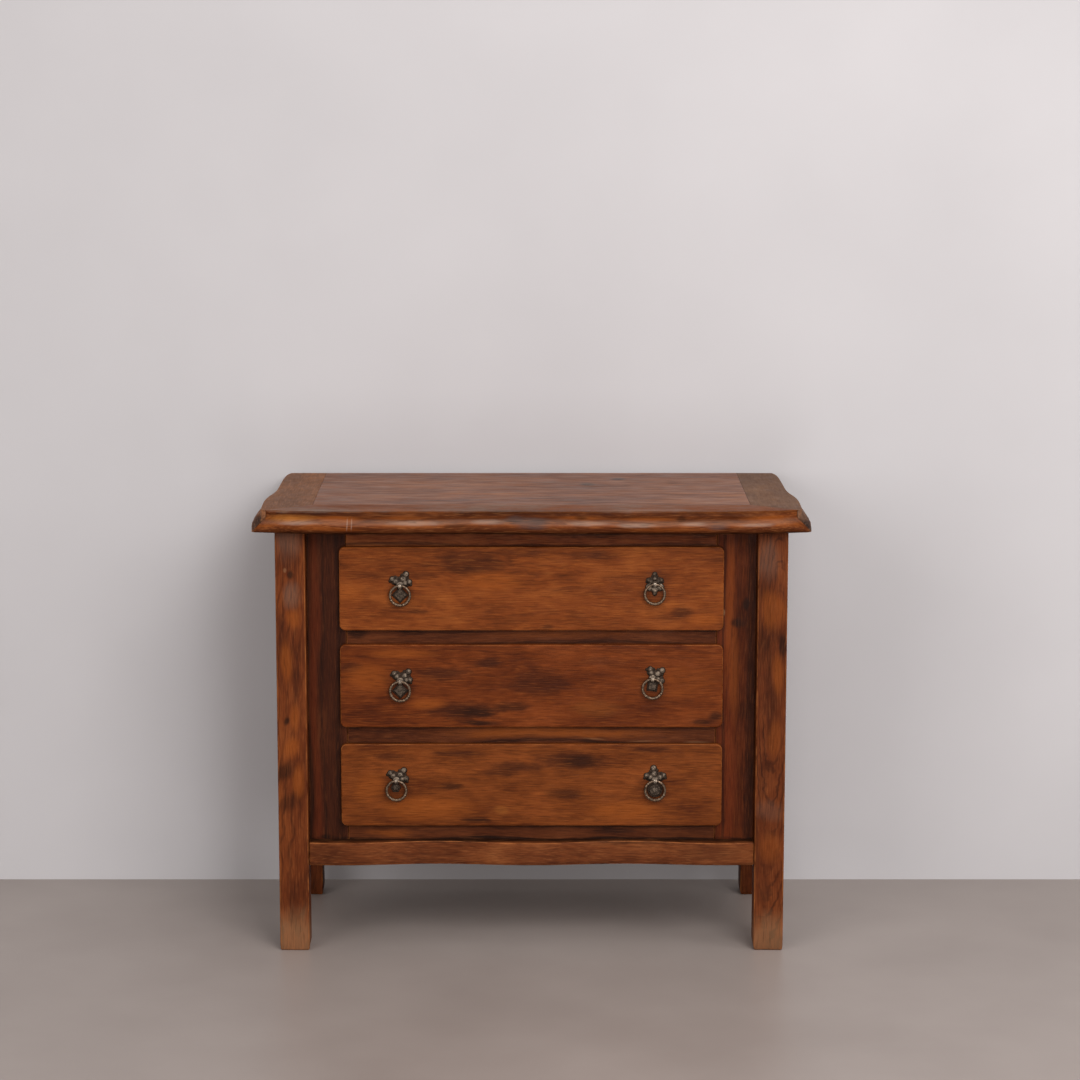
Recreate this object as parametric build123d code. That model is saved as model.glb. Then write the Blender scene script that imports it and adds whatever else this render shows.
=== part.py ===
from build123d import *
import math
import os

# A free-standing chest of three lipped drawers in solid timber. Four square posts run from the floor
# to a thick moulded top. Between the front posts stands a recessed frame of stiles and rails, with a
# serpentine apron below it. Each drawer has two loose ring pulls on cut-out metal plates.
# The origin is on the floor under the middle of the top. +X is to the right seen from the front,
# +Y runs back and +Z runs up. All sizes are in millimetres.

# Driving dimensions of the whole chest
HEIGHT = 827.0
TOP_WIDTH = 1016.0
TOP_DEPTH = 489.0
TOP_THICK = 40.0
BODY_WIDTH = 930.0
POST = 55.0
FRONT_OVERHANG = 44.0
REAR_OVERHANG = 30.0
POST_ROUND = 4.0

# Top: serpentine edge, moulding and boards
# Half the width of the top from back to front, as (place along the depth, half width at the nose)
SIDE_PLAN = [
    (244.5, 488.0), (228.0, 492.0), (205.0, 494.0), (160.0, 495.5), (70.0, 496.5), (33.0, 498.0),
    (-7.0, 502.0), (-46.0, 505.5), (-85.0, 507.5), (-120.0, 508.0), (-165.0, 507.0), (-195.0, 505.5),
    (-230.0, 502.0), (-250.0, 499.0),
]
FRONT_BOW = 22.0
FRONT_BOW_POWER = 6
FRONT_WAVE = 5.0
FRONT_WAVE_PERIOD = 345.0
FRONT_BOARD = 100.0
END_BOARD_INNER = 399.0
PLANK_COUNT = 3
TONGUE = 12.0
OUTLINE_STEPS = 14
# The moulding from the top arris to the underside, as (depth below the surface, inset from the nose)
EDGE_PROFILE = [
    (0.0, 20.5), (3.0, 19.5), (6.5, 16.5), (11.0, 11.5), (17.0, 6.5),
    (23.0, 3.2), (29.0, 1.0), (34.5, 0.0), (38.0, 0.8), (40.0, 4.0),
]

# Front frame and apron
FRAME_RECESS = 28.0
FRAME_THICK = 24.0
OPENING_HALF = 338.0
STILE_TONGUE = 10.0
RAIL_TENON = 25.0
TENON_THICK = 8.0
TENON_SHOULDER = 5.0
FRAME_LOW = 190.0
APRON_LOW = 161.5
APRON_HIGH = 206.5
APRON_WAVE = 12.0
APRON_SET_BACK = 2.0
APRON_TENON = 12.0

# Sides and back
SIDE_INSET = 6.0
SIDE_RAIL_THICK = 24.0
SIDE_RAIL_HEIGHT = 58.0
SIDE_TENON = 20.0
PANEL_THICK = 12.0
PANEL_GROOVE = 8.0
BACK_THICK = 10.0
BACK_REBATE = 8.0

# Drawers, top to bottom: each name with the height of the lower edge of its front
DRAWERS = {"upper": 600.5, "middle": 419.5, "lower": 233.5}
FRONT_WIDTH = 700.0
FRONT_HEIGHT = 155.0
FRONT_CORNER = 11.0
FRONT_EDGE_ROUND = 5.0
LIP_THICK = 12.0
LIP_OVER = 10.0
LIP_GAP = 0.4
BODY_THICK = 12.0
BOX_HALF = 334.0
BOX_REAR = 150.0
BOX_HEIGHT = 128.0
BOX_LIFT = 0.3
BOX_SIDE = 14.0
DOVETAIL_LENGTH = 10.0
DOVETAIL_WIDE = 31.0
DOVETAIL_NARROW = 25.0
DOVETAIL_COUNT = 3
BOX_BACK_THICK = 12.0
BOX_BACK_FROM_REAR = 12.0
BOX_BACK_HOUSING = 5.0
BOTTOM_THICK = 6.0
BOTTOM_RISE = 10.0
BOTTOM_GROOVE = 6.0

# Drawer runners and kickers
RUNNER_INNER = 318.0
RUNNER_OUTER = 434.0
RUNNER_THICK = 20.0
GUIDE_INNER = 338.5
GUIDE_OUTER = 352.0
GUIDE_RISE = 14.0
RUNNER_FRONT_TENON = ((368.0, 402.0), 12.0)
RUNNER_REAR_TENON = ((414.0, 430.0), 15.0)
RUNNER_TENON_THICK = 10.0
KICKER_WIDTH = 20.0
KICKER_TENON = 8.0

# Ring pulls: where each hangs on its drawer front, and how far its plate has turned clockwise
PULLS = {
    "upper_left": (-239.0, 7.0, 10.0), "upper_right": (224.0, 9.5, 0.0),
    "middle_left": (-240.0, 10.0, 34.0), "middle_right": (221.0, 15.0, 42.0),
    "lower_left": (-248.0, 9.5, 31.0), "lower_right": (227.0, 9.5, 2.0),
}
PLATE_THICK = 2.2
PLATE_HUB = 8.0
LOBES = [(0.0, 24.0, 5.2), (-17.5, 9.0, 4.8), (17.5, 9.0, 4.8)]
LOBE_ARM = 7.0
LOBE_BUD = 2.8
LOBE_BUD_SPREAD = 5.6
LOBE_BUD_BACK = 4.2
TAIL = [(0.0, 4.0), (11.0, -10.0), (0.0, -25.0), (-11.0, -10.0)]
BOSS_RADIUS = 2.8
BOSS_RISE = 1.3
BOSS_ROUND = 1.0
RING_RADIUS = 18.0
RING_WIRE = 2.4
BEAD_RADIUS = 3.2
BEAD_ANGLES = [-60.0, -40.0, -20.0, 0.0, 20.0, 40.0, 60.0]
EYE_STAND_OFF = 7.4
EYE_OUTER = 4.8
EYE_INNER = 2.9
EYE_WIDTH = 5.0
PIN_RADIUS = 2.3
PIN_CLEARANCE = 0.3
PIN_LEG = (17.0, 1.8, 3.4)

# Fasteners
SCREW_RADIUS = 2.0
SCREW_HEAD_RADIUS = 4.2
SCREW_HEAD_THICK = 3.0
SCREW_CLEARANCE = 0.15
TOP_SCREW_X = [-250.0, 0.0, 250.0]
TOP_SCREW_LENGTH = 64.0
APRON_SCREW_X = [-300.0, -100.0, 100.0, 300.0]
APRON_SCREW_LENGTH = 34.0
NAIL_X = [-340.0, -130.0, 130.0, 340.0]
NAIL_RADIUS = 1.2
NAIL_HEAD_RADIUS = 3.0
NAIL_HEAD_THICK = 1.0
NAIL_LENGTH = 24.0

# Places worked out from the driving dimensions
TOP_UNDER = HEIGHT - TOP_THICK
POST_OUT = BODY_WIDTH / 2
POST_IN = POST_OUT - POST
FRONT_Y = -TOP_DEPTH / 2 + FRONT_OVERHANG
REAR_Y = TOP_DEPTH / 2 - REAR_OVERHANG
FRONT_POST_BACK = FRONT_Y + POST
REAR_POST_FRONT = REAR_Y - POST
FRAME_Y = FRONT_Y + FRAME_RECESS
FRAME_BACK = FRAME_Y + FRAME_THICK
FRAME_MIDDLE = (FRAME_Y + FRAME_BACK) / 2
SIDE_OUT = POST_OUT - SIDE_INSET
SIDE_IN = SIDE_OUT - SIDE_RAIL_THICK
BACK_PANEL_Y = REAR_Y - BACK_THICK
REAR_RAIL_Y = BACK_PANEL_Y - SIDE_RAIL_THICK
OPENINGS = {name: (low + LIP_OVER, low + FRONT_HEIGHT - LIP_OVER) for name, low in DRAWERS.items()}
LIP_BACK = FRAME_Y - LIP_GAP
FACE_Y = LIP_BACK - LIP_THICK
BOX_FRONT = LIP_BACK + BODY_THICK
EYE_Y = FACE_Y - EYE_STAND_OFF


def block(x, y, z):
    """A box between the low and high value of each axis."""
    middle = Pos(sum(x) / 2, sum(y) / 2, sum(z) / 2)
    return middle * Box(x[1] - x[0], y[1] - y[0], z[1] - z[0])


def around(centre, width):
    """The low and high value of a width about its centre."""
    return centre - width / 2, centre + width / 2


def cut(body, *tools):
    """The body with the shape of every tool taken out of it."""
    for tool in tools:
        body = body - tool
    return body


def other_side(shape):
    """The same piece on the left of the chest."""
    return mirror(shape, about=Plane.YZ)


def rod(radius, length, start, direction):
    """A round rod from start along a direction."""
    return extrude(Plane(start, z_dir=direction) * Circle(radius), length)


def wave(along, crest, period):
    """0 at a crest and 1 midway between crests."""
    return (1 - math.cos(2 * math.pi * (along - crest) / period)) / 2


# The top

def nose_y(x):
    """The front edge of the top, at its nose."""
    bow = FRONT_BOW * abs(2 * x / TOP_WIDTH) ** FRONT_BOW_POWER
    return -TOP_DEPTH / 2 + bow + FRONT_WAVE * wave(x, 0, FRONT_WAVE_PERIOD)


def nose_x(y):
    """The right edge of the top, at its nose."""
    for (back_y, back_x), (front_y, front_x) in zip(SIDE_PLAN, SIDE_PLAN[1:]):
        if y >= front_y:
            break
    share = (back_y - y) / (back_y - front_y)
    return back_x + (front_x - back_x) * share


def corner(inset):
    """The front right corner of an outline drawn in from the nose."""
    y = -TOP_DEPTH / 2 + inset
    for _ in range(20):
        x = nose_x(y) - inset
        y = nose_y(x) + inset
    return x, y


def top_outline(drop, inset):
    """One outline of the top at a depth below its surface."""
    corner_x, corner_y = corner(inset)
    rear = TOP_DEPTH / 2
    steps = [i / OUTLINE_STEPS for i in range(OUTLINE_STEPS + 1)]
    across = [corner_x * (2 * s - 1) for s in steps]
    along = [corner_y + (rear - corner_y) * s for s in steps]
    front = Spline([(x, nose_y(x) + inset) for x in across])
    right = Spline([(nose_x(y) - inset, y) for y in along])
    left = Spline([(inset - nose_x(y), y) for y in along])
    back = Line(right @ 1, left @ 1)
    return Pos(0, 0, HEIGHT - drop) * make_face([front, right, back, left])


def make_top():
    """The six boards of the top: a mitred front board, two end boards and three planks between them."""
    slab = loft([top_outline(drop, inset) for drop, inset in EDGE_PROFILE], ruled=True)
    level = (TOP_UNDER - 1, HEIGHT + 1)
    front_edge = -TOP_DEPTH / 2
    front_inner = front_edge + FRONT_BOARD
    outer_x, outer_y = corner(0)
    mitre_run = 2 * (outer_x - END_BOARD_INNER)
    mitre_drop = 2 * (front_inner - outer_y)
    mitre_end = (END_BOARD_INNER + mitre_run, front_inner - mitre_drop)
    front_shape = Polyline(
        (-END_BOARD_INNER, front_inner), (END_BOARD_INNER, front_inner), mitre_end,
        (-mitre_end[0], mitre_end[1]), close=True,
    )
    front_block = Pos(0, 0, level[0]) * extrude(make_face(front_shape), level[1] - level[0])
    ends_block = block((END_BOARD_INNER, TOP_WIDTH), (-TOP_DEPTH, TOP_DEPTH), level)
    middle = HEIGHT - TOP_THICK / 2
    tongue_level = around(middle, TOP_THICK / 3)
    plank_width = (TOP_DEPTH - FRONT_BOARD) / PLANK_COUNT
    tongue_reach = END_BOARD_INNER + TONGUE
    boards = {}
    tongues = []
    for number, place in enumerate(("front", "middle", "rear")):
        low = front_inner + number * plank_width
        plank = slab & block((-END_BOARD_INNER, END_BOARD_INNER), (low, low + plank_width), level)
        tongue = block((-tongue_reach, tongue_reach), (low + TONGUE, low + plank_width - TONGUE), tongue_level)
        tongues.append(tongue)
        boards[f"top_{place}_plank"] = plank + tongue
    right_end = cut((slab & ends_block) - front_block, *tongues)
    boards["top_front_board"] = slab & front_block
    boards["top_right_end_board"] = right_end
    boards["top_left_end_board"] = other_side(right_end)
    return boards


# The front frame

def tenoned_rail(low, high):
    """A rail of the front frame with a tenon at each end."""
    rail = block((-OPENING_HALF, OPENING_HALF), (FRAME_Y, FRAME_BACK), (low, high))
    reach = OPENING_HALF + RAIL_TENON
    tenon_level = (low + TENON_SHOULDER, high - TENON_SHOULDER)
    return rail + block((-reach, reach), around(FRAME_MIDDLE, TENON_THICK), tenon_level)


def make_front_rails():
    """The four rails of the front frame, from the top down."""
    upper, middle, lower = (OPENINGS[name] for name in DRAWERS)
    return {
        "top_front_rail": tenoned_rail(upper[1], TOP_UNDER),
        "upper_divider_rail": tenoned_rail(middle[1], upper[0]),
        "lower_divider_rail": tenoned_rail(lower[1], middle[0]),
        "bottom_front_rail": tenoned_rail(FRAME_LOW, lower[0]),
    }


def make_stile():
    """The right stile, with the tongue that fits a groove in its post."""
    level = (FRAME_LOW, TOP_UNDER)
    stile = block((OPENING_HALF, POST_IN), (FRAME_Y, FRAME_BACK), level)
    return stile + block((POST_IN, POST_IN + STILE_TONGUE), around(FRAME_MIDDLE, TENON_THICK), level)


def apron_face(x):
    """How far forward the serpentine face of the apron stands."""
    return FRONT_Y + APRON_SET_BACK + APRON_WAVE * wave(x, 0, FRONT_WAVE_PERIOD)


def make_apron():
    """The serpentine board below the drawers, tenoned into both front posts."""
    across = [POST_IN * (2 * i / OUTLINE_STEPS - 1) for i in range(OUTLINE_STEPS + 1)]
    face = Spline([(x, apron_face(x)) for x in across])
    sides = Polyline(face @ 1, (POST_IN, FRAME_Y), (-POST_IN, FRAME_Y), face @ 0)
    outline = Pos(0, 0, APRON_LOW) * make_face([face, sides])
    board = extrude(outline, APRON_HIGH - APRON_LOW)
    reach = POST_IN + APRON_TENON
    tenon_level = (APRON_LOW + TENON_SHOULDER, APRON_HIGH - TENON_SHOULDER)
    tenon_y = (FRAME_Y - TENON_SHOULDER - TENON_THICK, FRAME_Y - TENON_SHOULDER)
    return board + block((-reach, reach), tenon_y, tenon_level)


# Sides and back

def side_rail(low):
    """A right side rail with a tenon into each post."""
    level = (low, low + SIDE_RAIL_HEIGHT)
    rail = block((SIDE_IN, SIDE_OUT), (FRONT_POST_BACK, REAR_POST_FRONT), level)
    reach = (FRONT_POST_BACK - SIDE_TENON, REAR_POST_FRONT + SIDE_TENON)
    tenon_level = (level[0] + PANEL_GROOVE, level[1] - PANEL_GROOVE)
    return rail + block(around((SIDE_IN + SIDE_OUT) / 2, TENON_THICK), reach, tenon_level)


def make_side_panel():
    """The right side panel, held in grooves on all four edges."""
    return block(
        around((SIDE_IN + SIDE_OUT) / 2, PANEL_THICK),
        (FRONT_POST_BACK - PANEL_GROOVE, REAR_POST_FRONT + PANEL_GROOVE),
        (APRON_LOW + SIDE_RAIL_HEIGHT - PANEL_GROOVE, TOP_UNDER - SIDE_RAIL_HEIGHT + PANEL_GROOVE),
    )


def rear_rail(low):
    """A rear rail with a tenon into each rear post."""
    level = (low, low + SIDE_RAIL_HEIGHT)
    rail = block((-POST_IN, POST_IN), (REAR_RAIL_Y, BACK_PANEL_Y), level)
    reach = POST_IN + SIDE_TENON
    tenon_level = (level[0] + PANEL_GROOVE, level[1] - PANEL_GROOVE)
    return rail + block((-reach, reach), around((REAR_RAIL_Y + BACK_PANEL_Y) / 2, TENON_THICK), tenon_level)


def make_back_panel():
    """The back, set in rebates of the rear posts and nailed to the rear rails."""
    reach = POST_IN + BACK_REBATE
    return block((-reach, reach), (BACK_PANEL_Y, REAR_Y), (APRON_LOW + PANEL_GROOVE, TOP_UNDER - PANEL_GROOVE))


def make_post(front):
    """A right post with softened edges, before its mortises are cut."""
    y = (FRONT_Y, FRONT_POST_BACK) if front else (REAR_POST_FRONT, REAR_Y)
    post = block((POST_IN, POST_OUT), y, (0, TOP_UNDER))
    post = fillet(post.edges().filter_by(Axis.Z), POST_ROUND)
    return fillet(post.faces().sort_by(Axis.Z)[0].edges(), POST_ROUND)


# Runners and kickers

def make_runner(bearing):
    """The right runner of one drawer: a bearer with a raised guide, tenoned into stile and rear post."""
    level = (bearing - RUNNER_THICK, bearing)
    length = (FRAME_BACK, REAR_POST_FRONT)
    tenon_level = around(bearing - RUNNER_THICK / 2, RUNNER_TENON_THICK)
    front_x, front_length = RUNNER_FRONT_TENON
    rear_x, rear_length = RUNNER_REAR_TENON
    return (
        block((RUNNER_INNER, RUNNER_OUTER), length, level)
        + block((GUIDE_INNER, GUIDE_OUTER), length, (bearing, bearing + GUIDE_RISE))
        + block(front_x, (FRAME_BACK - front_length, FRAME_BACK), tenon_level)
        + block(rear_x, (REAR_POST_FRONT, REAR_POST_FRONT + rear_length), tenon_level)
    )


def make_kicker():
    """The right kicker, which keeps the open upper drawer from tipping."""
    low = OPENINGS["upper"][1]
    x = (RUNNER_INNER, RUNNER_INNER + KICKER_WIDTH)
    strip = block(x, (FRAME_BACK, REAR_RAIL_Y), (low, low + KICKER_WIDTH))
    tenon_level = around(low + KICKER_WIDTH / 2, TENON_THICK)
    return strip + block(x, (FRAME_BACK - KICKER_TENON, REAR_RAIL_Y + KICKER_TENON), tenon_level)


# Fasteners

def screw(start, direction, length, ease=0.0):
    """A flat-headed screw; with ease it is the hole that clears it."""
    shank = rod(SCREW_RADIUS + ease, length + ease, start, direction)
    return shank + rod(SCREW_HEAD_RADIUS + ease, SCREW_HEAD_THICK + ease, start, direction)


def top_screws(ease=0.0):
    """Screws up through the front and rear top rails into the top."""
    low = OPENINGS["upper"][1]
    rear_y = (REAR_RAIL_Y + BACK_PANEL_Y) / 2
    places = [(x, y, low) for y in (FRAME_MIDDLE, rear_y) for x in TOP_SCREW_X]
    return [screw(place, (0, 0, 1), TOP_SCREW_LENGTH, ease) for place in places]


def rear_rail_counterbores():
    """The sunk holes that let the rear screws start as high as the front ones."""
    low = TOP_UNDER - SIDE_RAIL_HEIGHT - 1
    rear_y = (REAR_RAIL_Y + BACK_PANEL_Y) / 2
    depth = OPENINGS["upper"][1] - low
    return [rod(SCREW_HEAD_RADIUS + 1, depth, (x, rear_y, low), (0, 0, 1)) for x in TOP_SCREW_X]


def apron_screws(ease=0.0):
    """Screws through the bottom rail into the back of the apron."""
    level = (FRAME_LOW + APRON_HIGH) / 2
    return [screw((x, FRAME_BACK, level), (0, -1, 0), APRON_SCREW_LENGTH, ease) for x in APRON_SCREW_X]


def back_nails(ease=0.0):
    """Nails through the back panel into the rear rails."""
    half = SIDE_RAIL_HEIGHT / 2
    nails = []
    for level in (APRON_LOW + half, TOP_UNDER - half):
        for x in NAIL_X:
            head = rod(NAIL_HEAD_RADIUS, NAIL_HEAD_THICK, (x, REAR_Y, level), (0, 1, 0))
            shank = rod(NAIL_RADIUS + ease, NAIL_LENGTH + ease, (x, REAR_Y, level), (0, -1, 0))
            nails.append(head + shank)
    return nails


# The carcass put together

def make_carcass():
    """Every fixed piece, with each mortise and groove cut by the piece that fills it."""
    pieces = make_top()
    rails = make_front_rails()
    stile = make_stile()
    apron = make_apron()
    lower_side = side_rail(APRON_LOW)
    upper_side = side_rail(TOP_UNDER - SIDE_RAIL_HEIGHT)
    side_panel = make_side_panel()
    rear_low = rear_rail(APRON_LOW)
    rear_high = rear_rail(TOP_UNDER - SIDE_RAIL_HEIGHT)
    back_panel = make_back_panel()
    runners = {name: make_runner(OPENINGS[name][0]) for name in DRAWERS}
    kicker = make_kicker()
    kickers = [kicker, other_side(kicker)]
    top_holes = top_screws(SCREW_CLEARANCE)
    apron_holes = apron_screws(SCREW_CLEARANCE)
    nail_holes = back_nails(SCREW_CLEARANCE)

    front_post = cut(make_post(True), stile, apron, lower_side, upper_side, side_panel, *runners.values())
    rear_post = cut(
        make_post(False), lower_side, upper_side, side_panel, rear_low, rear_high, back_panel, *runners.values()
    )
    right_pieces = {
        "front_{}_post": front_post,
        "rear_{}_post": rear_post,
        "{}_front_stile": cut(stile, *rails.values(), *runners.values()),
        "{}_upper_side_rail": cut(upper_side, side_panel),
        "{}_lower_side_rail": cut(lower_side, side_panel),
        "{}_side_panel": side_panel,
    }
    for name, piece in right_pieces.items():
        pieces[name.format("right")] = piece
        pieces[name.format("left")] = other_side(piece)
    for name, runner in runners.items():
        pieces[f"{name}_drawer_runners"] = Compound([*runner.solids(), *other_side(runner).solids()])

    rails["top_front_rail"] = cut(rails["top_front_rail"], *kickers, *top_holes)
    rails["bottom_front_rail"] = cut(rails["bottom_front_rail"], *apron_holes)
    pieces.update(rails)
    for name in ("top_front_board", "top_rear_plank"):
        pieces[name] = cut(pieces[name], *top_holes)
    pieces["front_apron"] = cut(apron, *apron_holes)
    pieces["rear_bottom_rail"] = cut(rear_low, *nail_holes)
    pieces["rear_top_rail"] = cut(rear_high, *kickers, *top_holes, *rear_rail_counterbores(), *nail_holes)
    pieces["back_panel"] = cut(back_panel, *nail_holes)
    pieces["upper_drawer_kickers"] = group(kickers)
    pieces["top_screws"] = group(top_screws())
    pieces["apron_screws"] = group(apron_screws())
    pieces["back_nails"] = group(back_nails())
    return pieces


def group(shapes):
    """Separate solids that share one node."""
    return Compound([solid for shape in shapes for solid in shape.solids()])


# The drawers

def dovetails(low):
    """The tails on the front end of a right drawer side."""
    pitch = BOX_HEIGHT / DOVETAIL_COUNT
    tip = BOX_FRONT - DOVETAIL_LENGTH
    tails = []
    for number in range(DOVETAIL_COUNT):
        middle = low + (number + 0.5) * pitch
        wide = around(middle, DOVETAIL_WIDE)
        narrow = around(middle, DOVETAIL_NARROW)
        outline = Polyline(
            (BOX_FRONT, narrow[0]), (tip, wide[0]), (tip, wide[1]), (BOX_FRONT, narrow[1]), close=True
        )
        side_plane = Plane((BOX_HALF - BOX_SIDE, 0, 0), x_dir=(0, 1, 0), z_dir=(1, 0, 0))
        tails.append(extrude(side_plane * make_face(outline), BOX_SIDE))
    return tails


def drawer_front(front_low, box_low):
    """A lipped front: a rounded face board with a thinner block behind it that enters the opening."""
    middle = front_low + FRONT_HEIGHT / 2
    plane = Plane((0, LIP_BACK, middle), x_dir=(1, 0, 0), z_dir=(0, -1, 0))
    face = extrude(plane * RectangleRounded(FRONT_WIDTH, FRONT_HEIGHT, FRONT_CORNER), LIP_THICK)
    face = fillet(face.faces().sort_by(Axis.Y)[0].edges(), FRONT_EDGE_ROUND)
    return face + block((-BOX_HALF, BOX_HALF), (LIP_BACK, BOX_FRONT), (box_low, box_low + BOX_HEIGHT))


def make_drawer(name):
    """The five wooden pieces of one drawer."""
    front_low = DRAWERS[name]
    low = OPENINGS[name][0] + BOX_LIFT
    side_x = (BOX_HALF - BOX_SIDE, BOX_HALF)
    bottom_level = (low + BOTTOM_RISE, low + BOTTOM_RISE + BOTTOM_THICK)
    bottom_reach = side_x[0] + BOTTOM_GROOVE
    bottom = block((-bottom_reach, bottom_reach), (BOX_FRONT - BOTTOM_GROOVE, BOX_REAR), bottom_level)
    back_reach = side_x[0] + BOX_BACK_HOUSING
    back_rear = BOX_REAR - BOX_BACK_FROM_REAR
    back = block(
        (-back_reach, back_reach), (back_rear - BOX_BACK_THICK, back_rear),
        (bottom_level[1], low + BOX_HEIGHT - BOTTOM_RISE),
    )
    side = block(side_x, (BOX_FRONT, BOX_REAR), (low, low + BOX_HEIGHT))
    for tail in dovetails(low):
        side = side + tail
    left_side = other_side(side)
    holes = [
        rod(PIN_RADIUS + PIN_CLEARANCE, LIP_THICK + BODY_THICK, (x, FACE_Y, z), (0, 1, 0))
        for x, z in pull_places(name)
    ]
    right_side = cut(side, bottom, back)
    return {
        f"{name}_drawer_front": cut(drawer_front(front_low, low), side, left_side, bottom, *holes),
        f"{name}_drawer_right_side": right_side,
        f"{name}_drawer_left_side": other_side(right_side),
        f"{name}_drawer_back": back,
        f"{name}_drawer_bottom": bottom,
    }


# The ring pulls

def pull_places(name):
    """Where the two pins of a drawer pass through its front, as (x, z)."""
    middle = DRAWERS[name] + FRONT_HEIGHT / 2
    return [(x, middle + rise) for pull, (x, rise, _) in PULLS.items() if pull.startswith(name)]


def pull_plate(turn):
    """The cut-out plate: three budded lobes above the pin and a lozenge tail below it."""
    outline = Circle(PLATE_HUB) + make_face(Polyline(*TAIL, close=True))
    bosses = []
    for x, z, radius in LOBES:
        reach = math.hypot(x, z)
        angle = math.degrees(math.atan2(z, x))
        at_lobe = Rot(0, 0, angle)
        outline += at_lobe * Pos(reach / 2, 0) * Rectangle(reach, LOBE_ARM)
        outline += Pos(x, z) * Circle(radius)
        for side in (-1, 1):
            outline += at_lobe * Pos(reach - LOBE_BUD_BACK, side * LOBE_BUD_SPREAD) * Circle(LOBE_BUD)
        boss = rod(BOSS_RADIUS, PLATE_THICK + BOSS_RISE, (x, 0, z), (0, -1, 0))
        bosses.append(fillet(boss.edges().group_by(Axis.Y)[0], BOSS_ROUND))
    plate = extrude(Plane.XZ * outline, PLATE_THICK)
    for boss in bosses:
        plate = plate + boss
    plate = plate - rod(PIN_RADIUS + PIN_CLEARANCE, PLATE_THICK, (0, 0, 0), (0, -1, 0))
    return Rot(0, turn, 0) * plate


def pull_pin():
    """The split pin: an eye for the ring, a shank through the front and two clenched legs behind it."""
    along_x = Rot(0, 90, 0)
    eye_place = Pos(0, -EYE_STAND_OFF, 0)
    legs_y = LIP_THICK + BODY_THICK
    leg_reach, leg_thick, leg_wide = PIN_LEG
    shank_start = -EYE_STAND_OFF + EYE_INNER + 0.1
    pin = eye_place * along_x * Cylinder(EYE_OUTER, EYE_WIDTH)
    pin = pin + rod(PIN_RADIUS, legs_y + leg_thick - shank_start, (0, shank_start, 0), (0, 1, 0))
    pin = pin + block((-leg_reach, leg_reach), (legs_y, legs_y + leg_thick), around(0, leg_wide))
    return pin - eye_place * along_x * Cylinder(EYE_INNER, 2 * EYE_WIDTH)


def pull_ring():
    """The ring that hangs in the eye, with a run of beads round its lower half."""
    ring = Rot(90, 0, 0) * Torus(RING_RADIUS, RING_WIRE)
    for angle in BEAD_ANGLES:
        turn = math.radians(angle)
        ring = ring + Pos(RING_RADIUS * math.sin(turn), 0, -RING_RADIUS * math.cos(turn)) * Sphere(BEAD_RADIUS)
    return Pos(0, -EYE_STAND_OFF, -RING_RADIUS) * ring


def make_pulls():
    """Plates and pins grouped by drawer, and each ring on its own because it swings."""
    pieces = {}
    for name in DRAWERS:
        middle = DRAWERS[name] + FRONT_HEIGHT / 2
        plates, pins = [], []
        for pull, (x, rise, turn) in PULLS.items():
            if pull.startswith(name):
                place = Pos(x, FACE_Y, middle + rise)
                plates.append(place * pull_plate(turn))
                pins.append(place * pull_pin())
                pieces[f"{pull}_pull_ring"] = place * pull_ring()
        pieces[f"{name}_drawer_pull_plates"] = group(plates)
        pieces[f"{name}_drawer_pull_pins"] = group(pins)
    return pieces


def main():
    """Builds every piece and writes it as its own file."""
    os.makedirs("parts", exist_ok=True)
    pieces = make_carcass()
    for name in DRAWERS:
        pieces.update(make_drawer(name))
    pieces.update(make_pulls())
    for name, shape in pieces.items():
        export_step(shape, f"parts/{name}.step")
    print(len(pieces), "pieces written")


if __name__ == "__main__":
    main()
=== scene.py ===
"""Dresses the chest of three drawers for rendering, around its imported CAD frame.

Objects are in metres in the frame that the CAD uses: the origin on the floor under the middle of the top,
X to the right seen from the front, Y to the back and Z up. Sizes in fields and tables are in millimetres.
"""

from __future__ import annotations

import logging
import math
from dataclasses import dataclass
from enum import Enum
from typing import Any, Iterable

import bmesh
import bpy
from bmesh.types import BMesh
from mathutils import Matrix, Vector, noise

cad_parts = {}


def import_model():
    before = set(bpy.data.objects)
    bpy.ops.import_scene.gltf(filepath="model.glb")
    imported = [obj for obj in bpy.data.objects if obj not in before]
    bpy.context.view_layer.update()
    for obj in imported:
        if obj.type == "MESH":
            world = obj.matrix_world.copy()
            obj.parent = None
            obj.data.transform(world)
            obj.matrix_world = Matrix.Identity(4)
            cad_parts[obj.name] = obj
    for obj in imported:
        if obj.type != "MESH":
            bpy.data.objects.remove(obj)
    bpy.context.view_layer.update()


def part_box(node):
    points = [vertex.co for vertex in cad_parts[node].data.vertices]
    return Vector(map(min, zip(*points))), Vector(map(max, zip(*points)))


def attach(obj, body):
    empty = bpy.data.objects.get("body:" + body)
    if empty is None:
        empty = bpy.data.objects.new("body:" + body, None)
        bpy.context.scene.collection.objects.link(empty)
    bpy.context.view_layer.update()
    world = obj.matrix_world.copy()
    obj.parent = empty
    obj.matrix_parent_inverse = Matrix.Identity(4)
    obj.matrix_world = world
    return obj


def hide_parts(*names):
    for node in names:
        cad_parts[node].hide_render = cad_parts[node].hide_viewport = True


LOG = logging.getLogger("chest")
MM = 0.001
MM_IN_M = 1000.0
TINY = 1e-6
WEAR = "wear"
Pair = tuple[float, float]
Triple = tuple[float, float, float]
Shades = tuple[str, str, str, str, str]


def linear(code: str) -> tuple[float, float, float, float]:
    """Turns an sRGB hex colour into linear light.

    Args:
        code: The colour as "#rrggbb".

    Returns:
        Red, green, blue and an alpha of one.
    """
    shares = [int(code[i : i + 2], 16) / 255 for i in (1, 3, 5)]
    light = [s / 12.92 if s <= 0.04045 else ((s + 0.055) / 1.055) ** 2.4 for s in shares]
    return (light[0], light[1], light[2], 1.0)


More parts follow.
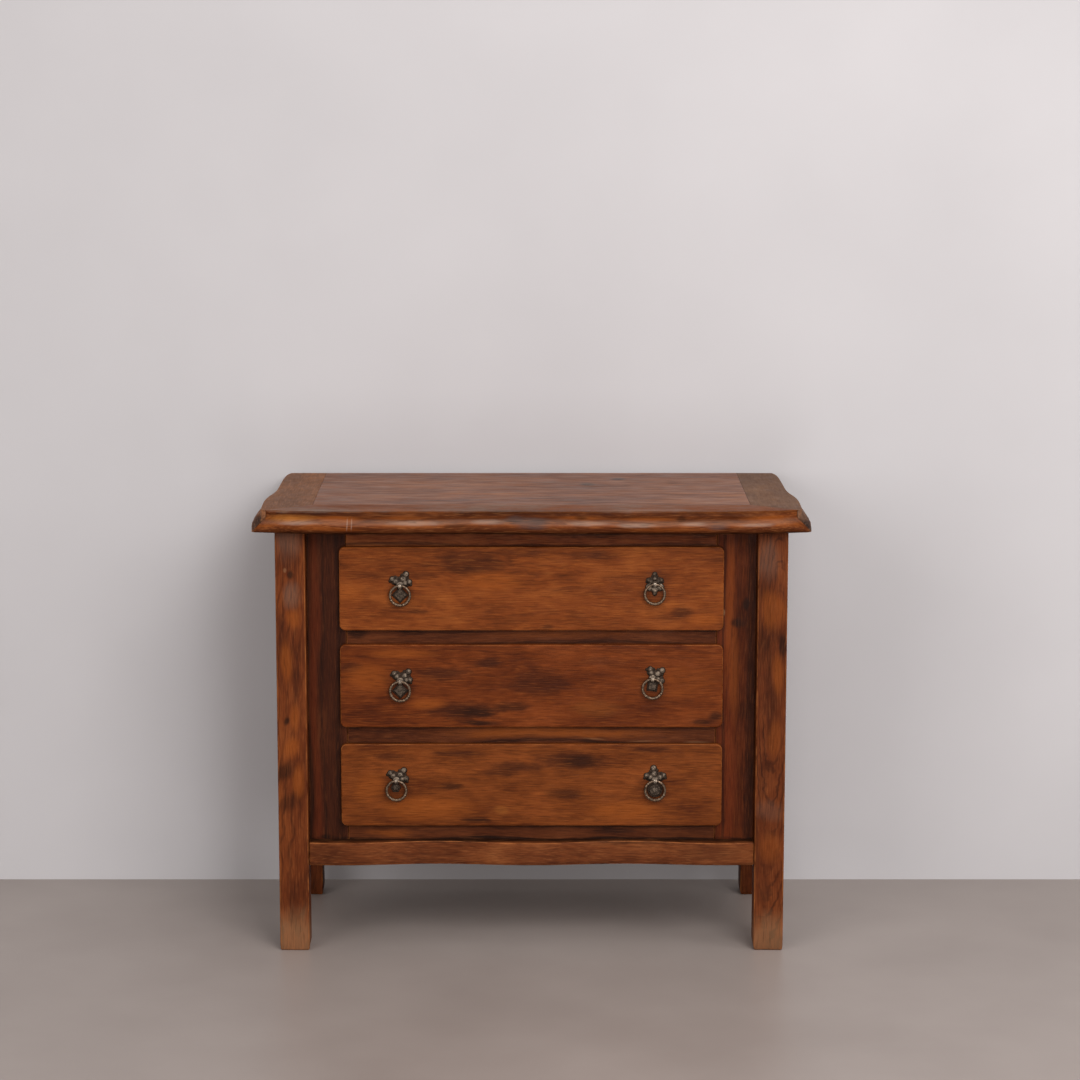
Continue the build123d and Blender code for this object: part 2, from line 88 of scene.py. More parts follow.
def add(
    tree: bpy.types.NodeTree,
    kind: str,
    links: dict[int | str, Any] | None = None,
    stops: Iterable[tuple[float, str]] = (),
    **settings: Any,
) -> bpy.types.Node:
    """Adds a shader node, sets it and joins it up.

    Args:
        tree: The node tree it goes in.
        kind: The node's type without its "ShaderNode" prefix.
        links: An output to join, or a constant to set, for each input by its name or number. MapRange has its
            value, from low, from high, to low and to high at 0 to 4. Mix has its share at 0, its colours at 6
            and 7, and its result at 2.
        stops: Places and colours of a colour ramp.
        **settings: The node's own properties.

    Returns:
        The new node.
    """
    made = tree.nodes.new("ShaderNode" + kind)
    for name, value in settings.items():
        setattr(made, name, value)
    for i, (place, code) in enumerate(stops):
        points = made.color_ramp.elements
        point = points[i] if i < len(points) else points.new(1.0)
        point.position = place
        point.color = linear(code)
    for key, value in (links or {}).items():
        if isinstance(value, bpy.types.NodeSocket):
            tree.links.new(value, made.inputs[key])
        else:
            made.inputs[key].default_value = value
    return made


def new_material(name: str) -> bpy.types.Material:
    """Makes an empty material with a node tree.

    Args:
        name: Its name.

    Returns:
        The new material.
    """
    made = bpy.data.materials.new(name)
    made.use_nodes = True
    made.node_tree.nodes.clear()
    return made


class Grain(Enum):
    """The way the fibres run, as the order of axes: along them first, then the two across."""

    ACROSS = (0, 1, 2)
    DEEP = (1, 2, 0)
    UPRIGHT = (2, 0, 1)


class Stain(str, Enum):
    """Colours of the marks that age has left in the wood, and of the painted shade, painted shadow and
    painted highlights laid on the same way.
    """

    # Dark marks in the wood, and also painted shade and painted shadow in gaps, under the top and round its
    # moulding
    SOOT = "#1c0d07"
    # Dark smudges, and also painted shade on the moulding of the top
    UMBER = "#31150a"
    RUST = "#6e2c11"
    AMBER = "#914a18"
    HONEY = "#a9672c"
    ASH = "#634b3e"
    SLATE = "#45403f"
    SCUFF = "#b08660"
    # Pale scratches, and also painted highlights and painted sheen on the moulded front of the top
    CHALK = "#a58e7e"


SOOT, UMBER, RUST, AMBER, HONEY, ASH, SLATE, SCUFF, CHALK = Stain


@dataclass(frozen=True)
class Spot:
    """A smudge, scuff, stain or knot, or a patch of painted shade or painted highlight, with its middle and
    its reach each way in the chest's frame.
    """

    stain: Stain
    at: Triple
    reach: Triple
    strength: float


# Sizes along and across the fibres in mm, and detail; real pores are 0.3 mm wide, drawn coarser to show
PATTERNS = {
    "tone": (130.0, 54.0, 3.0),
    "mottle": (26.0, 13.0, 3.0),
    "streak": (84.0, 2.8, 3.0),
    "fibre": (26.0, 1.7, 2.0),
    "pore": (32.0, 1.8, 1.0),
    "scuff": (30.0, 10.0, 4.0),
}
# How far the patterns eat into the edge of a mark
CLOUDINESS = {"tone": 0.34, "mottle": 0.2, "streak": 0.1}
SHADE_STOPS = (0.08, 0.32, 0.5, 0.68, 0.92)
SEED_SHIFT_MM = (731.0, 173.0, 397.0)
LEAN_MM = (260.0, 60.0, 60.0)
LEAN_SWING_MM = 16.0
GRAIN_RELIEF_MM = 0.7


@dataclass(frozen=True)
class Wood:
    """Hardwood that was sawn, planed by hand, stained and waxed, and then worn.

    Fine streaks and pores run along the grain, growth rings cut the faces at a slant, the stain has taken
    unevenly, and the wax is rubbed through to paler wood on the arrises.
    """

    name: str
    grain: Grain
    shades: Shades
    seed: float
    pith: Pair = (40.0, 0.0)
    tilt: Pair = (2.0, 1.5)
    ring_mm: float = 10.0
    rings: float = 0.22
    curl: float = 4.0
    streaks: float = 0.11
    fibres: float = 0.12
    mottle: float = 0.12
    tone: float = 0.38
    length: float = 1.0
    breadth: float = 1.0
    pores: float = 0.3
    ragged_mm: float = 26.0
    rough: float = 0.46
    gloss: float = 0.06
    rubbed: str = "#9a5c30"
    rubbed_share: float = 0.75
    spots: tuple[Spot, ...] = ()

    def layered(self, tree: Any, pattern: dict[str, Any], gains: dict[str, float], middle: float) -> Any:
        """Adds patterns up, each with its own gain.

        Args:
            tree: The node tree.
            pattern: The patterns by name.
            gains: How far each of those wanted swings either way.
            middle: The value that the sum swings about.

        Returns:
            The socket of the sum.
        """
        value: Any = middle - sum(gains.values())
        for key, gain in gains.items():
            links = {0: pattern[key], 1: 2 * gain, 2: value}
            value = add(tree, "Math", links, operation="MULTIPLY_ADD").outputs[0]
        return value

    def patterns(self, tree: Any, bent: Any) -> dict[str, Any]:
        """Draws the patterns that run along the fibres.

        Args:
            tree: The node tree.
            bent: Places along and across the fibres, in millimetres.

        Returns:
            The patterns by name.
        """
        made = {}
        for key, (long_mm, wide_mm, detail) in PATTERNS.items():
            per_mm = (1 / long_mm / self.length, 1 / wide_mm / self.breadth, 1 / wide_mm / self.breadth)
            spread = add(tree, "VectorMath", {0: bent, 1: per_mm}, operation="MULTIPLY").outputs[0]
            links = {0: spread, "Scale": 1.0, "Detail": detail, "Roughness": 0.58}
            made[key] = add(tree, "TexNoise", links).outputs[0]
        return made

    def late_wood(self, tree: Any, leaning: Any, lean: Any) -> Any:
        """Draws the dark lines of the growth rings, round a pith that runs at a slant to the board.

        Args:
            tree: The node tree.
            leaning: Places along and across the fibres, in millimetres.
            lean: The slow noise that the fibres follow.

        Returns:
            The share of dark late wood.
        """
        slant = (0.0, math.radians(self.tilt[0]), math.radians(self.tilt[1]))
        place = add(tree, "Mapping", {0: leaning, 1: (0.0, *self.pith), 2: slant}, vector_type="TEXTURE")
        # The wave turns by 20 radians for each unit of its scaled place
        scale = math.pi / 10 / self.ring_mm
        links = {0: place.outputs[0], "Scale": scale, "Distortion": self.curl, "Detail": 2.0}
        ring = add(tree, "TexWave", links, wave_type="RINGS", rings_direction="X", wave_profile="SIN")
        links = {0: ring.outputs["Fac"], 1: 0.0, 2: 0.36, 3: self.rings, 4: 0.0}
        late = add(tree, "MapRange", links).outputs[0]
        shown = add(tree, "MapRange", {0: lean, 1: 0.4, 2: 0.6, 3: 0.15, 4: 1.0}).outputs[0]
        return add(tree, "Math", {0: late, 1: shown}, operation="MULTIPLY").outputs[0]

    def stained(self, tree: Any, pattern: dict[str, Any], late: Any) -> Any:
        """Colours the board: broad tones everywhere, and fine grain that is plain here and quiet there.

        Args:
            tree: The node tree.
            pattern: The patterns by name.
            late: The share of dark late wood.

        Returns:
            The colour.
        """
        coarse = self.layered(tree, pattern, {"tone": self.tone, "mottle": self.mottle}, 0.5)
        fine = self.layered(tree, pattern, {"streak": self.streaks, "fibre": self.fibres}, 0.0)
        busy = add(tree, "MapRange", {0: pattern["scuff"], 1: 0.36, 2: 0.64, 3: 0.35, 4: 1.5}).outputs[0]
        value = add(tree, "Math", {0: fine, 1: busy, 2: coarse}, operation="MULTIPLY_ADD").outputs[0]
        colour = add(tree, "ValToRGB", {0: value}, tuple(zip(SHADE_STOPS, self.shades))).outputs[0]
        return add(tree, "Mix", {0: late, 6: colour, 7: linear(self.shades[0])}, data_type="RGBA").outputs[2]

    def marked(self, tree: Any, ragged: Any, cloudy: Any, colour: Any) -> Any:
        """Lays the marks, painted shade and painted highlights among them, over the stain, with soft ragged
        edges that follow the grain.

        Args:
            tree: The node tree.
            ragged: Places in millimetres, shifted to and fro.
            cloudy: How far the patterns eat into a mark.
            colour: The stained colour.

        Returns:
            The colour with its marks.
        """
        for spot in self.spots:
            inverse = tuple(1 / r for r in spot.reach)
            offset = tuple(-p / r for p, r in zip(spot.at, spot.reach))
            near = add(tree, "VectorMath", {0: ragged, 1: inverse, 2: offset}, operation="MULTIPLY_ADD")
            far = add(tree, "VectorMath", {0: near.outputs[0]}, operation="LENGTH").outputs["Value"]
            reach = add(tree, "Math", {0: far, 1: cloudy}, operation="ADD").outputs[0]
            links = {0: reach, 1: 1.0, 2: 0.3, 3: 0.0, 4: spot.strength}
            share = add(tree, "MapRange", links, interpolation_type="SMOOTHSTEP").outputs[0]
            links = {0: share, 6: colour, 7: linear(spot.stain.value)}
            colour = add(tree, "Mix", links, data_type="RGBA").outputs[2]
        return colour

    def material(self) -> bpy.types.Material:
        """Builds the node material.

        Returns:
            The finished material.
        """
        made = new_material(self.name)
        tree = made.node_tree
        metres = add(tree, "TexCoord").outputs["Object"]
        place = add(tree, "VectorMath", {0: metres, 3: MM_IN_M}, operation="SCALE").outputs[0]
        xyz = add(tree, "SeparateXYZ", {0: place})
        along, side, deep = (xyz.outputs[i] for i in self.grain.value)
        straight = add(tree, "CombineXYZ", {0: along, 1: side, 2: deep}).outputs[0]
        shift = tuple(self.seed * step for step in SEED_SHIFT_MM)
        seeded = add(tree, "VectorMath", {0: straight, 1: shift}, operation="ADD").outputs[0]

        # The fibres lean a few millimetres either way along the board
        per_mm = tuple(1 / size for size in LEAN_MM)
        slow = add(tree, "VectorMath", {0: seeded, 1: per_mm}, operation="MULTIPLY").outputs[0]
        lean = add(tree, "TexNoise", {0: slow, "Scale": 1.0, "Detail": 2.0})
        half = LEAN_SWING_MM / 2
        links = {0: lean.outputs[1], 1: (0, LEAN_SWING_MM, LEAN_SWING_MM), 2: (0, -half, -half)}
        bent_by = add(tree, "VectorMath", links, operation="MULTIPLY_ADD").outputs[0]
        bent = add(tree, "VectorMath", {0: seeded, 1: bent_by}, operation="ADD").outputs[0]
        pattern = self.patterns(tree, bent)
        leaning = add(tree, "VectorMath", {0: straight, 1: bent_by}, operation="ADD").outputs[0]
        colour = self.stained(tree, pattern, self.late_wood(tree, leaning, lean.outputs[0]))

        links = {0: lean.outputs[1], 1: (self.ragged_mm,) * 3, 2: (-self.ragged_mm / 2,) * 3}
        ragged_by = add(tree, "VectorMath", links, operation="MULTIPLY_ADD").outputs[0]
        ragged = add(tree, "VectorMath", {0: place, 1: ragged_by}, operation="ADD").outputs[0]
        cloudy = self.layered(tree, pattern, CLOUDINESS, 0.0)
        colour = self.marked(tree, ragged, cloudy, colour)

        # Pores are dark, and pale flecks lie between them
        links = {0: pattern["pore"], 1: 0.56, 2: 0.68, 3: 0.0, 4: self.pores}
        pore = add(tree, "MapRange", links).outputs[0]
        links = {0: pattern["pore"], 1: 0.44, 2: 0.32, 3: 0.0, 4: self.pores * 0.7}
        fleck = add(tree, "MapRange", links).outputs[0]
        for share, code in ((pore, self.shades[0]), (fleck, self.shades[4])):
            links = {0: share, 6: colour, 7: linear(code)}
            colour = add(tree, "Mix", links, data_type="RGBA").outputs[2]

        # The wax is rubbed through in patches where the board is worn
        edge = add(tree, "Attribute", attribute_name=WEAR).outputs["Fac"]
        patchy = add(tree, "MapRange", {0: pattern["scuff"], 1: 0.36, 2: 0.62, 3: 0.1, 4: 1.0}).outputs[0]
        thin = add(tree, "Math", {0: edge, 1: patchy}, operation="MULTIPLY").outputs[0]
        share = add(tree, "MapRange", {0: thin, 1: 0.1, 2: 0.8, 3: 0.0, 4: self.rubbed_share}).outputs[0]
        colour = add(tree, "Mix", {0: share, 6: colour, 7: linear(self.rubbed)}, data_type="RGBA").outputs[2]

        links = {0: pattern["scuff"], 1: 0.3, 2: 0.7, 3: self.rough - 0.08, 4: self.rough + 0.12}
        rough = add(tree, "MapRange", links).outputs[0]
        relief = add(tree, "Math", {0: pattern["fibre"], 1: pattern["streak"]}, operation="ADD").outputs[0]
        relief = add(tree, "Math", {0: pore, 1: -0.6, 2: relief}, operation="MULTIPLY_ADD").outputs[0]
        links = {"Strength": 0.35, "Distance": GRAIN_RELIEF_MM * MM, "Height": relief}
        bump = add(tree, "Bump", links).outputs[0]
        links = {"Base Color": colour, "Roughness": rough, "Normal": bump, "Specular IOR Level": self.gloss}
        shader = add(tree, "BsdfPrincipled", links).outputs[0]
        add(tree, "OutputMaterial", {"Surface": shader})
        return made


@dataclass(frozen=True)
class Brass:
    """Cast brass, filed, drilled and left to darken: brown in the hollows, and paler on high spots, partly
    rubbed bright and partly a painted highlight.

    High spots are those that stand furthest forward, between two depths in the chest's frame.
    """

    name: str
    hollow_y: float
    high_y: float
    patina: str = "#1a110a"
    body: str = "#35271c"
    bright: str = "#6f5b49"
    blotch_mm: float = 3.2
    pit_mm: float = 0.9
    pit_deep_mm: float = 0.2

    def material(self) -> bpy.types.Material:
        """Builds the node material.

        Returns:
            The finished material.
        """
        made = new_material(self.name)
        tree = made.node_tree
        place = add(tree, "TexCoord").outputs["Object"]
        links = {0: place, "Scale": MM_IN_M / self.blotch_mm, "Detail": 3.0}
        blotch = add(tree, "TexNoise", links).outputs[0]
        links = {0: place, "Scale": MM_IN_M / self.pit_mm, "Detail": 2.0}
        pit = add(tree, "TexNoise", links).outputs[0]
        colour = add(tree, "ValToRGB", {0: blotch}, ((0.34, self.patina), (0.62, self.body))).outputs[0]
        # Paler where the metal stands furthest forward: partly rubbed wear, partly a painted highlight
        depth = add(tree, "SeparateXYZ", {0: place}).outputs[1]
        links = {0: depth, 1: self.hollow_y * MM, 2: self.high_y * MM, 3: 0.0, 4: 1.0}
        high = add(tree, "MapRange", links, interpolation_type="SMOOTHSTEP").outputs[0]
        patchy = add(tree, "MapRange", {0: blotch, 1: 0.36, 2: 0.6, 3: 0.2, 4: 1.0}).outputs[0]
        share = add(tree, "Math", {0: high, 1: patchy}, operation="MULTIPLY").outputs[0]
        colour = add(tree, "Mix", {0: share, 6: colour, 7: linear(self.bright)}, data_type="RGBA").outputs[2]
        rough = add(tree, "MapRange", {0: share, 1: 0.0, 2: 1.0, 3: 0.58, 4: 0.36}).outputs[0]
        links = {"Strength": 0.4, "Distance": self.pit_deep_mm * MM, "Height": pit}
        bump = add(tree, "Bump", links).outputs[0]
        links = {"Base Color": colour, "Metallic": 0.8, "Roughness": rough, "Normal": bump}
        shader = add(tree, "BsdfPrincipled", links).outputs[0]
        add(tree, "OutputMaterial", {"Surface": shader})
        return made


@dataclass(frozen=True)
class Steel:
    """Plain drawn steel of screws and nails, dulled by a thin brown film of rust."""

    name: str = "dulled_steel"
    clean: str = "#8b8783"
    film: str = "#5c4a3e"
    film_mm: float = 3.0

    def material(self) -> bpy.types.Material:
        """Builds the node material.

        Returns:
            The finished material.
        """
        made = new_material(self.name)
        tree = made.node_tree
        place = add(tree, "TexCoord").outputs["Object"]
        film = add(tree, "TexNoise", {0: place, "Scale": MM_IN_M / self.film_mm, "Detail": 4.0}).outputs[0]
        colour = add(tree, "ValToRGB", {0: film}, ((0.4, self.film), (0.62, self.clean))).outputs[0]
        rough = add(tree, "MapRange", {0: film, 1: 0.4, 2: 0.62, 3: 0.65, 4: 0.38}).outputs[0]
        links = {"Base Color": colour, "Metallic": 0.9, "Roughness": rough}
        shader = add(tree, "BsdfPrincipled", links).outputs[0]
        add(tree, "OutputMaterial", {"Surface": shader})
        return made


@dataclass(frozen=True)
class Paint:
    """A matt studio surface with a faint cloudiness: painted plaster or a smooth poured floor."""

    name: str
    light: str
    dark: str
    cloud_mm: float
    rough: float
    one_sided: bool = False

    def material(self) -> bpy.types.Material:
        """Builds the node material.

        Returns:
            The finished material.
        """
        made = new_material(self.name)
        tree = made.node_tree
        place = add(tree, "TexCoord").outputs["Object"]
        cloud = add(tree, "TexNoise", {0: place, "Scale": MM_IN_M / self.cloud_mm, "Detail": 5.0}).outputs[0]
        colour = add(tree, "ValToRGB", {0: cloud}, ((0.3, self.dark), (0.7, self.light))).outputs[0]
        links = {"Base Color": colour, "Roughness": self.rough}
        shader = add(tree, "BsdfPrincipled", links).outputs[0]
        if self.one_sided:
            behind = add(tree, "NewGeometry").outputs["Backfacing"]
            clear = add(tree, "BsdfTransparent").outputs[0]
            shader = add(tree, "MixShader", {0: behind, 1: shader, 2: clear}).outputs[0]
        add(tree, "OutputMaterial", {"Surface": shader})
        return made


# How far a step of the seed moves the noise
SEED_STEPS = (17.3, 5.1, 9.7)


def sway(point: Vector, size_mm: float, seed: float) -> float:
    """Gives smooth seeded noise.

    Args:
        point: A place in metres.
        size_mm: How far apart its rises and falls are.
        seed: Which noise it is.

    Returns:
        A number from 0 to 1.
    """
    shifted = point / (size_mm * MM) + Vector([seed * step for step in SEED_STEPS])
    return min(1.0, max(0.0, 0.5 + 0.5 * noise.noise(shifted)))


def smooth_table(table: tuple[Pair, ...], at: float) -> float:
    """Reads a table of points as a smooth curve.

    Args:
        table: Pairs in rising order of their first number.
        at: Where to read it.

    Returns:
        The second number there.
    """
    if at <= table[0][0]:
        return table[0][1]
    if at >= table[-1][0]:
        return table[-1][1]
    i = max(k for k in range(len(table) - 1) if table[k][0] <= at)
    before, start, end, after = (table[max(0, min(len(table) - 1, k))] for k in (i - 1, i, i + 1, i + 2))
    span = end[0] - start[0]
    t = (at - start[0]) / span
    rise_in = (end[1] - before[1]) / (end[0] - before[0]) * span
    rise_out = (after[1] - start[1]) / (after[0] - start[0]) * span
    a = 2 * t**3 - 3 * t**2 + 1
    b = t**3 - 2 * t**2 + t
    c = 3 * t**2 - 2 * t**3
    d = t**3 - t**2
    return a * start[1] + b * rise_in + c * end[1] + d * rise_out


def wave(along: float, period: float) -> float:
    """Gives a ripple from 0 at the middle to 1 half a period away.

    Args:
        along: How far from the middle.
        period: How far apart the crests are.

    Returns:
        The ripple's height from 0 to 1.
    """
    return (1 - math.cos(2 * math.pi * along / period)) / 2


def everything(bm: BMesh) -> list[Any]:
    """Lists all the geometry of a mesh, as the operators take it.

    Args:
        bm: The mesh.

    Returns:
        Its points, edges and faces.
    """
    return [*bm.verts, *bm.edges, *bm.faces]


def cut(bm: BMesh, middle: Vector, outward: Vector, clear: bool = False, near: float = TINY) -> list[Any]:
    """Cuts a mesh along a plane.

    Args:
        bm: The mesh.
        middle: A point on the plane.
        outward: The plane's normal.
        clear: Whether what lies outside the plane is cleared away.
        near: How near to the plane points count as on it, in metres.

    Returns:
        The edges along the cut.
    """
    made = bmesh.ops.bisect_plane(
        bm,
        geom=everything(bm),
        dist=near,
        plane_co=middle,
        plane_no=outward,
        clear_outer=clear,
    )
    return [e for e in made["geom_cut"] if isinstance(e, bmesh.types.BMEdge)]


def slice_up(bm: BMesh, axis: int, low: float, high: float, step: float) -> None:
    """Cuts a mesh into even slices along an axis, so that wear has points to move.

    Args:
        bm: The mesh.
        axis: 0, 1 or 2.
        low: Where the slices start, in metres.
        high: Where they end.
        step: How thick they are, about.
    """
    count = max(1, round((high - low) / step))
    normal = Vector((0, 0, 0))
    normal[axis] = 1.0
    for i in range(1, count):
        cut(bm, normal * (low + (high - low) * i / count), normal)


def make_block(low: Vector, high: Vector) -> BMesh:
    """Makes a plain block between two corners, as a start for shaping.

    Args:
        low: The lowest corner, in metres.
        high: The highest corner.

    Returns:
        The block.
    """
    bm = bmesh.new()
    bmesh.ops.create_cube(bm, size=1.0)
    bmesh.ops.scale(bm, vec=high - low, verts=bm.verts)
    bmesh.ops.translate(bm, vec=(low + high) / 2, verts=bm.verts)
    return bm


def round_edges(bm: BMesh, edges: list[Any], radius: float, segments: int = 3) -> list[Any]:
    """Rounds edges over.

    Args:
        bm: The mesh.
        edges: Which edges.
        radius: How far, in metres.
        segments: How many faces the rounding has.

    Returns:
        The new faces.
    """
    made = bmesh.ops.bevel(
        bm,
        geom=edges,
        offset=radius,
        offset_type="OFFSET",
        segments=segments,
        profile=0.5,
        affect="EDGES",
        clamp_overlap=True,
        material=-1,
    )
    return made["faces"]


# How far apart coarse and fine hollows in a face are, their shares of its sag, and how far apart chips are
SAG_MM = (95.0, 32.0)
SAG_SHARES = (0.6, 0.4)
CHIP_MM = 17.0


def weather(bm: BMesh, sag_mm: float, chip_mm: float, seed: float) -> None:
    """Wears a mesh inwards: slow unevenness all over, and small chips where its wear layer is high.

    Args:
        bm: The mesh, with its wear layer filled.
        sag_mm: The deepest unevenness of a face.
        chip_mm: The deepest chip on an arris.
        seed: Which pattern of wear.
    """
    layer = bm.verts.layers.float[WEAR]
    bm.normal_update()
    moved = []
    for v in bm.verts:
        coarse = SAG_SHARES[0] * sway(v.co, SAG_MM[0], seed)
        slow = sag_mm * (coarse + SAG_SHARES[1] * sway(v.co, SAG_MM[1], seed + 3))
        chip = chip_mm * v[layer] * sway(v.co, CHIP_MM, seed + 7) ** 2
        moved.append(v.co - v.normal * (slow + chip) * MM)
    for v, place in zip(bm.verts, moved):
        v.co = place


def publish(
    bm: BMesh,
    name: str,
    finish: bpy.types.Material,
    body: str,
    nodes: tuple[str, ...],
) -> bpy.types.Object:
    """Turns a mesh into a piece of the chest.

    Args:
        bm: The finished mesh, which is freed.
        name: The piece's name.
        finish: Its material.
        body: The CAD body it rides on.
        nodes: The CAD nodes it stands for.

    Returns:
        The new object.
    """
    bmesh.ops.recalc_face_normals(bm, faces=bm.faces)
    mesh = bpy.data.meshes.new(name)
    bm.to_mesh(mesh)
    bm.free()
    mesh.shade_smooth()
    mesh.materials.append(finish)
    piece = bpy.data.objects.new(name, mesh)
    bpy.context.scene.collection.objects.link(piece)
    even = piece.modifiers.new("even_normals", "WEIGHTED_NORMAL")
    even.keep_sharp = True
    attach(piece, body)
    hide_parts(*nodes)
    LOG.info("%s: %d faces on %s", name, len(mesh.polygons), body)
    return piece


# Shades of each board from dark to pale
UPPER_STAIN = ("#291106", "#51250c", "#6b3312", "#7f421a", "#965726")
MIDDLE_STAIN = ("#210d05", "#421a08", "#5b280c", "#703514", "#87491f")
LOWER_STAIN = ("#240f05", "#481f0a", "#612f10", "#763b17", "#8d4f21")
POST_STAIN = ("#220e06", "#411c0b", "#592911", "#6d3718", "#874e29")
# Painted shade: the right posts take a darker copy of the post stain, because the key lamp falls more on them
RIGHT_POST_SHADED_STAIN = ("#1f0c06", "#3c1a09", "#52250f", "#643217", "#7c4725")
LEFT_FRAME_STAIN = ("#130804", "#270f07", "#37170a", "#46210f", "#5c3219")
RIGHT_FRAME_STAIN = ("#160804", "#2f1105", "#421a08", "#52240d", "#6a391a")
RAIL_STAIN = ("#170a05", "#331509", "#47210e", "#582c15", "#6f3f22")
# Painted light: the top rail takes a paler copy of the rail stain, to lift the shade that the overhanging top
# casts on it
TOP_RAIL_LIGHTENED_STAIN = ("#271108", "#4f230f", "#6a3318", "#804522", "#965d37")
APRON_STAIN = ("#251107", "#46200d", "#613117", "#754121", "#8c5832")
NOSE_STAIN = ("#230f06", "#4a210c", "#663113", "#7d4420", "#996238")
TOP_STAIN = ("#2b140a", "#552c16", "#703f21", "#875230", "#a37048")
END_STAIN = ("#4e2e1f", "#6e4731", "#84563a", "#996646", "#b17d59")
RIGHT_END_STAIN = ("#3f281d", "#583d2e", "#6a4b38", "#7a5943", "#8d6d55")
PALE_WOOD = ("#60402a", "#8a6344", "#a27854", "#b58c67", "#caa581")

# How far back the marked faces are, how deep a mark goes, and the reach of those that run all the way
DRAWER_Y = -185.0
POST_Y = -200.0
FRAME_Y = -172.0
NOSE_Y = -240.0
MARK_DEEP = 60.0
ALL_ALONG = 3000
ALL_UP = 900


def marks(face_y: float, *rows: tuple[Stain, float, float, float, float, float]) -> tuple[Spot, ...]:
    """Lists the marks on an upright face.

    Args:
        face_y: How far back the face is.
        *rows: For each mark its stain, its place across and up, its reach across and up, and its strength.

    Returns:
        The marks.
    """
    made = []
    for stain, x, z, wide, high, share in rows:
        made.append(Spot(stain, (x, face_y, z), (wide, MARK_DEEP, high), share))
    return tuple(made)


UPPER_SPOTS = marks(
    DRAWER_Y,
    (UMBER, -108, 730, 90, 24, 0.48),
    (SOOT, -113, 716, 45, 12, 0.34),
    (UMBER, -194, 705, 40, 10, 0.37),
    (UMBER, -265, 728, 60, 14, 0.26),
    (UMBER, -235, 640, 70, 9, 0.34),
    (SOOT, -204, 638, 28, 6, 0.44),
    (UMBER, -10, 744, 70, 8, 0.37),
    (UMBER, 112, 743, 80, 10, 0.41),
    (UMBER, 68, 680, 70, 7, 0.3),
    (SOOT, 273, 639, 28, 14, 0.56),
    (UMBER, 250, 628, 44, 11, 0.37),
    (AMBER, 312, 624, 40, 16, 0.45),
    (SOOT, 26, 608, 16, 7, 0.52),
    (AMBER, -75, 696, 75, 24, 0.38),
    (AMBER, -329, 671, 40, 30, 0.26),
    (UMBER, -300, 705, 50, 10, 0.26),
    (UMBER, 160, 700, 60, 9, 0.26),
)
MIDDLE_SPOTS = marks(
    DRAWER_Y,
    (UMBER, -128, 451, 80, 26, 0.84),
    (SOOT, -95, 448, 60, 15, 0.77),
    (SOOT, -42, 458, 60, 15, 0.7),
    (UMBER, -157, 522, 75, 16, 0.77),
    (UMBER, -80, 539, 36, 13, 0.84),
    (UMBER, 10, 500, 62, 36, 0.6),
    (UMBER, -332, 532, 32, 16, 0.7),
    (AMBER, -240, 558, 80, 13, 0.35),
    (AMBER, -300, 512, 60, 36, 0.35),
    (AMBER, -191, 463, 50, 15, 0.4),
    (HONEY, 113, 455, 60, 24, 0.1),
    (SOOT, -90, 428, 50, 6, 0.84),
    (SOOT, 335, 443, 18, 14, 0.7),
    (AMBER, 260, 505, 110, 42, 0.2),
    (UMBER, 130, 540, 60, 10, 0.49),
    (SOOT, 310, 432, 30, 7, 0.7),
)
LOWER_SPOTS = marks(
    DRAWER_Y,
    (UMBER, 60, 358, 90, 27, 0.74),
    (SOOT, 91, 357, 46, 20, 0.55),
    (UMBER, -30, 345, 72, 17, 0.68),
    (UMBER, 219, 381, 45, 9, 0.68),
    (SOOT, -148, 305, 32, 12, 0.68),
    (SOOT, 60, 295, 50, 12, 0.48),
    (UMBER, -143, 369, 70, 8, 0.61),
    (UMBER, -264, 362, 40, 12, 0.54),
    (UMBER, -61, 332, 50, 12, 0.54),
    (AMBER, -192, 265, 110, 28, 0.4),
    (AMBER, 172, 265, 90, 26, 0.4),
    (AMBER, -298, 305, 40, 40, 0.35),
    (HONEY, -56, 262, 20, 12, 0.2),
    (SOOT, 220, 237, 26, 6, 0.81),
    (SOOT, -100, 242, 34, 6, 0.68),
)
LEFT_POST_SPOTS = marks(
    POST_Y,
    (ASH, -440, 772, 34, 60, 0.45),
    (UMBER, -438, 730, 30, 30, 0.4),
    (SCUFF, -447, 712, 4, 6, 0.2),
    (SOOT, -436, 704, 8, 10, 0.86),
    (ASH, -434, 668, 22, 34, 0.5),
    (AMBER, -430, 625, 16, 26, 0.38),
    (UMBER, -452, 600, 10, 60, 0.57),
    (AMBER, -446, 545, 14, 50, 0.38),
    (UMBER, -430, 500, 10, 60, 0.52),
    (SOOT, -446, 438, 9, 11, 0.87),
    (AMBER, -432, 440, 12, 40, 0.34),
    (AMBER, -440, 385, 22, 30, 0.41),
    (SOOT, -450, 345, 22, 26, 0.69),
    (AMBER, -428, 320, 14, 40, 0.38),
    (SOOT, -446, 285, 26, 26, 0.52),
    (UMBER, -440, 80, 16, 60, 0.4),
    (SCUFF, -443, 15, 90, 80, 0.26),
)
RIGHT_POST_SPOTS = marks(
    POST_Y,
    (ASH, 430, 735, 34, 54, 0.36),
    (AMBER, 440, 640, 30, 46, 0.31),
    (SOOT, 456, 575, 9, 26, 0.8),
    (AMBER, 448, 520, 14, 50, 0.34),
    (UMBER, 432, 470, 16, 60, 0.45),
    (AMBER, 446, 400, 16, 50, 0.25),
    (ASH, 438, 268, 40, 28, 0.24),
    (UMBER, 426, 330, 12, 60, 0.4),
    (AMBER, 440, 200, 34, 40, 0.22),
    (UMBER, 430, 110, 14, 50, 0.35),
    (SCUFF, 441, 15, 90, 80, 0.22),
)
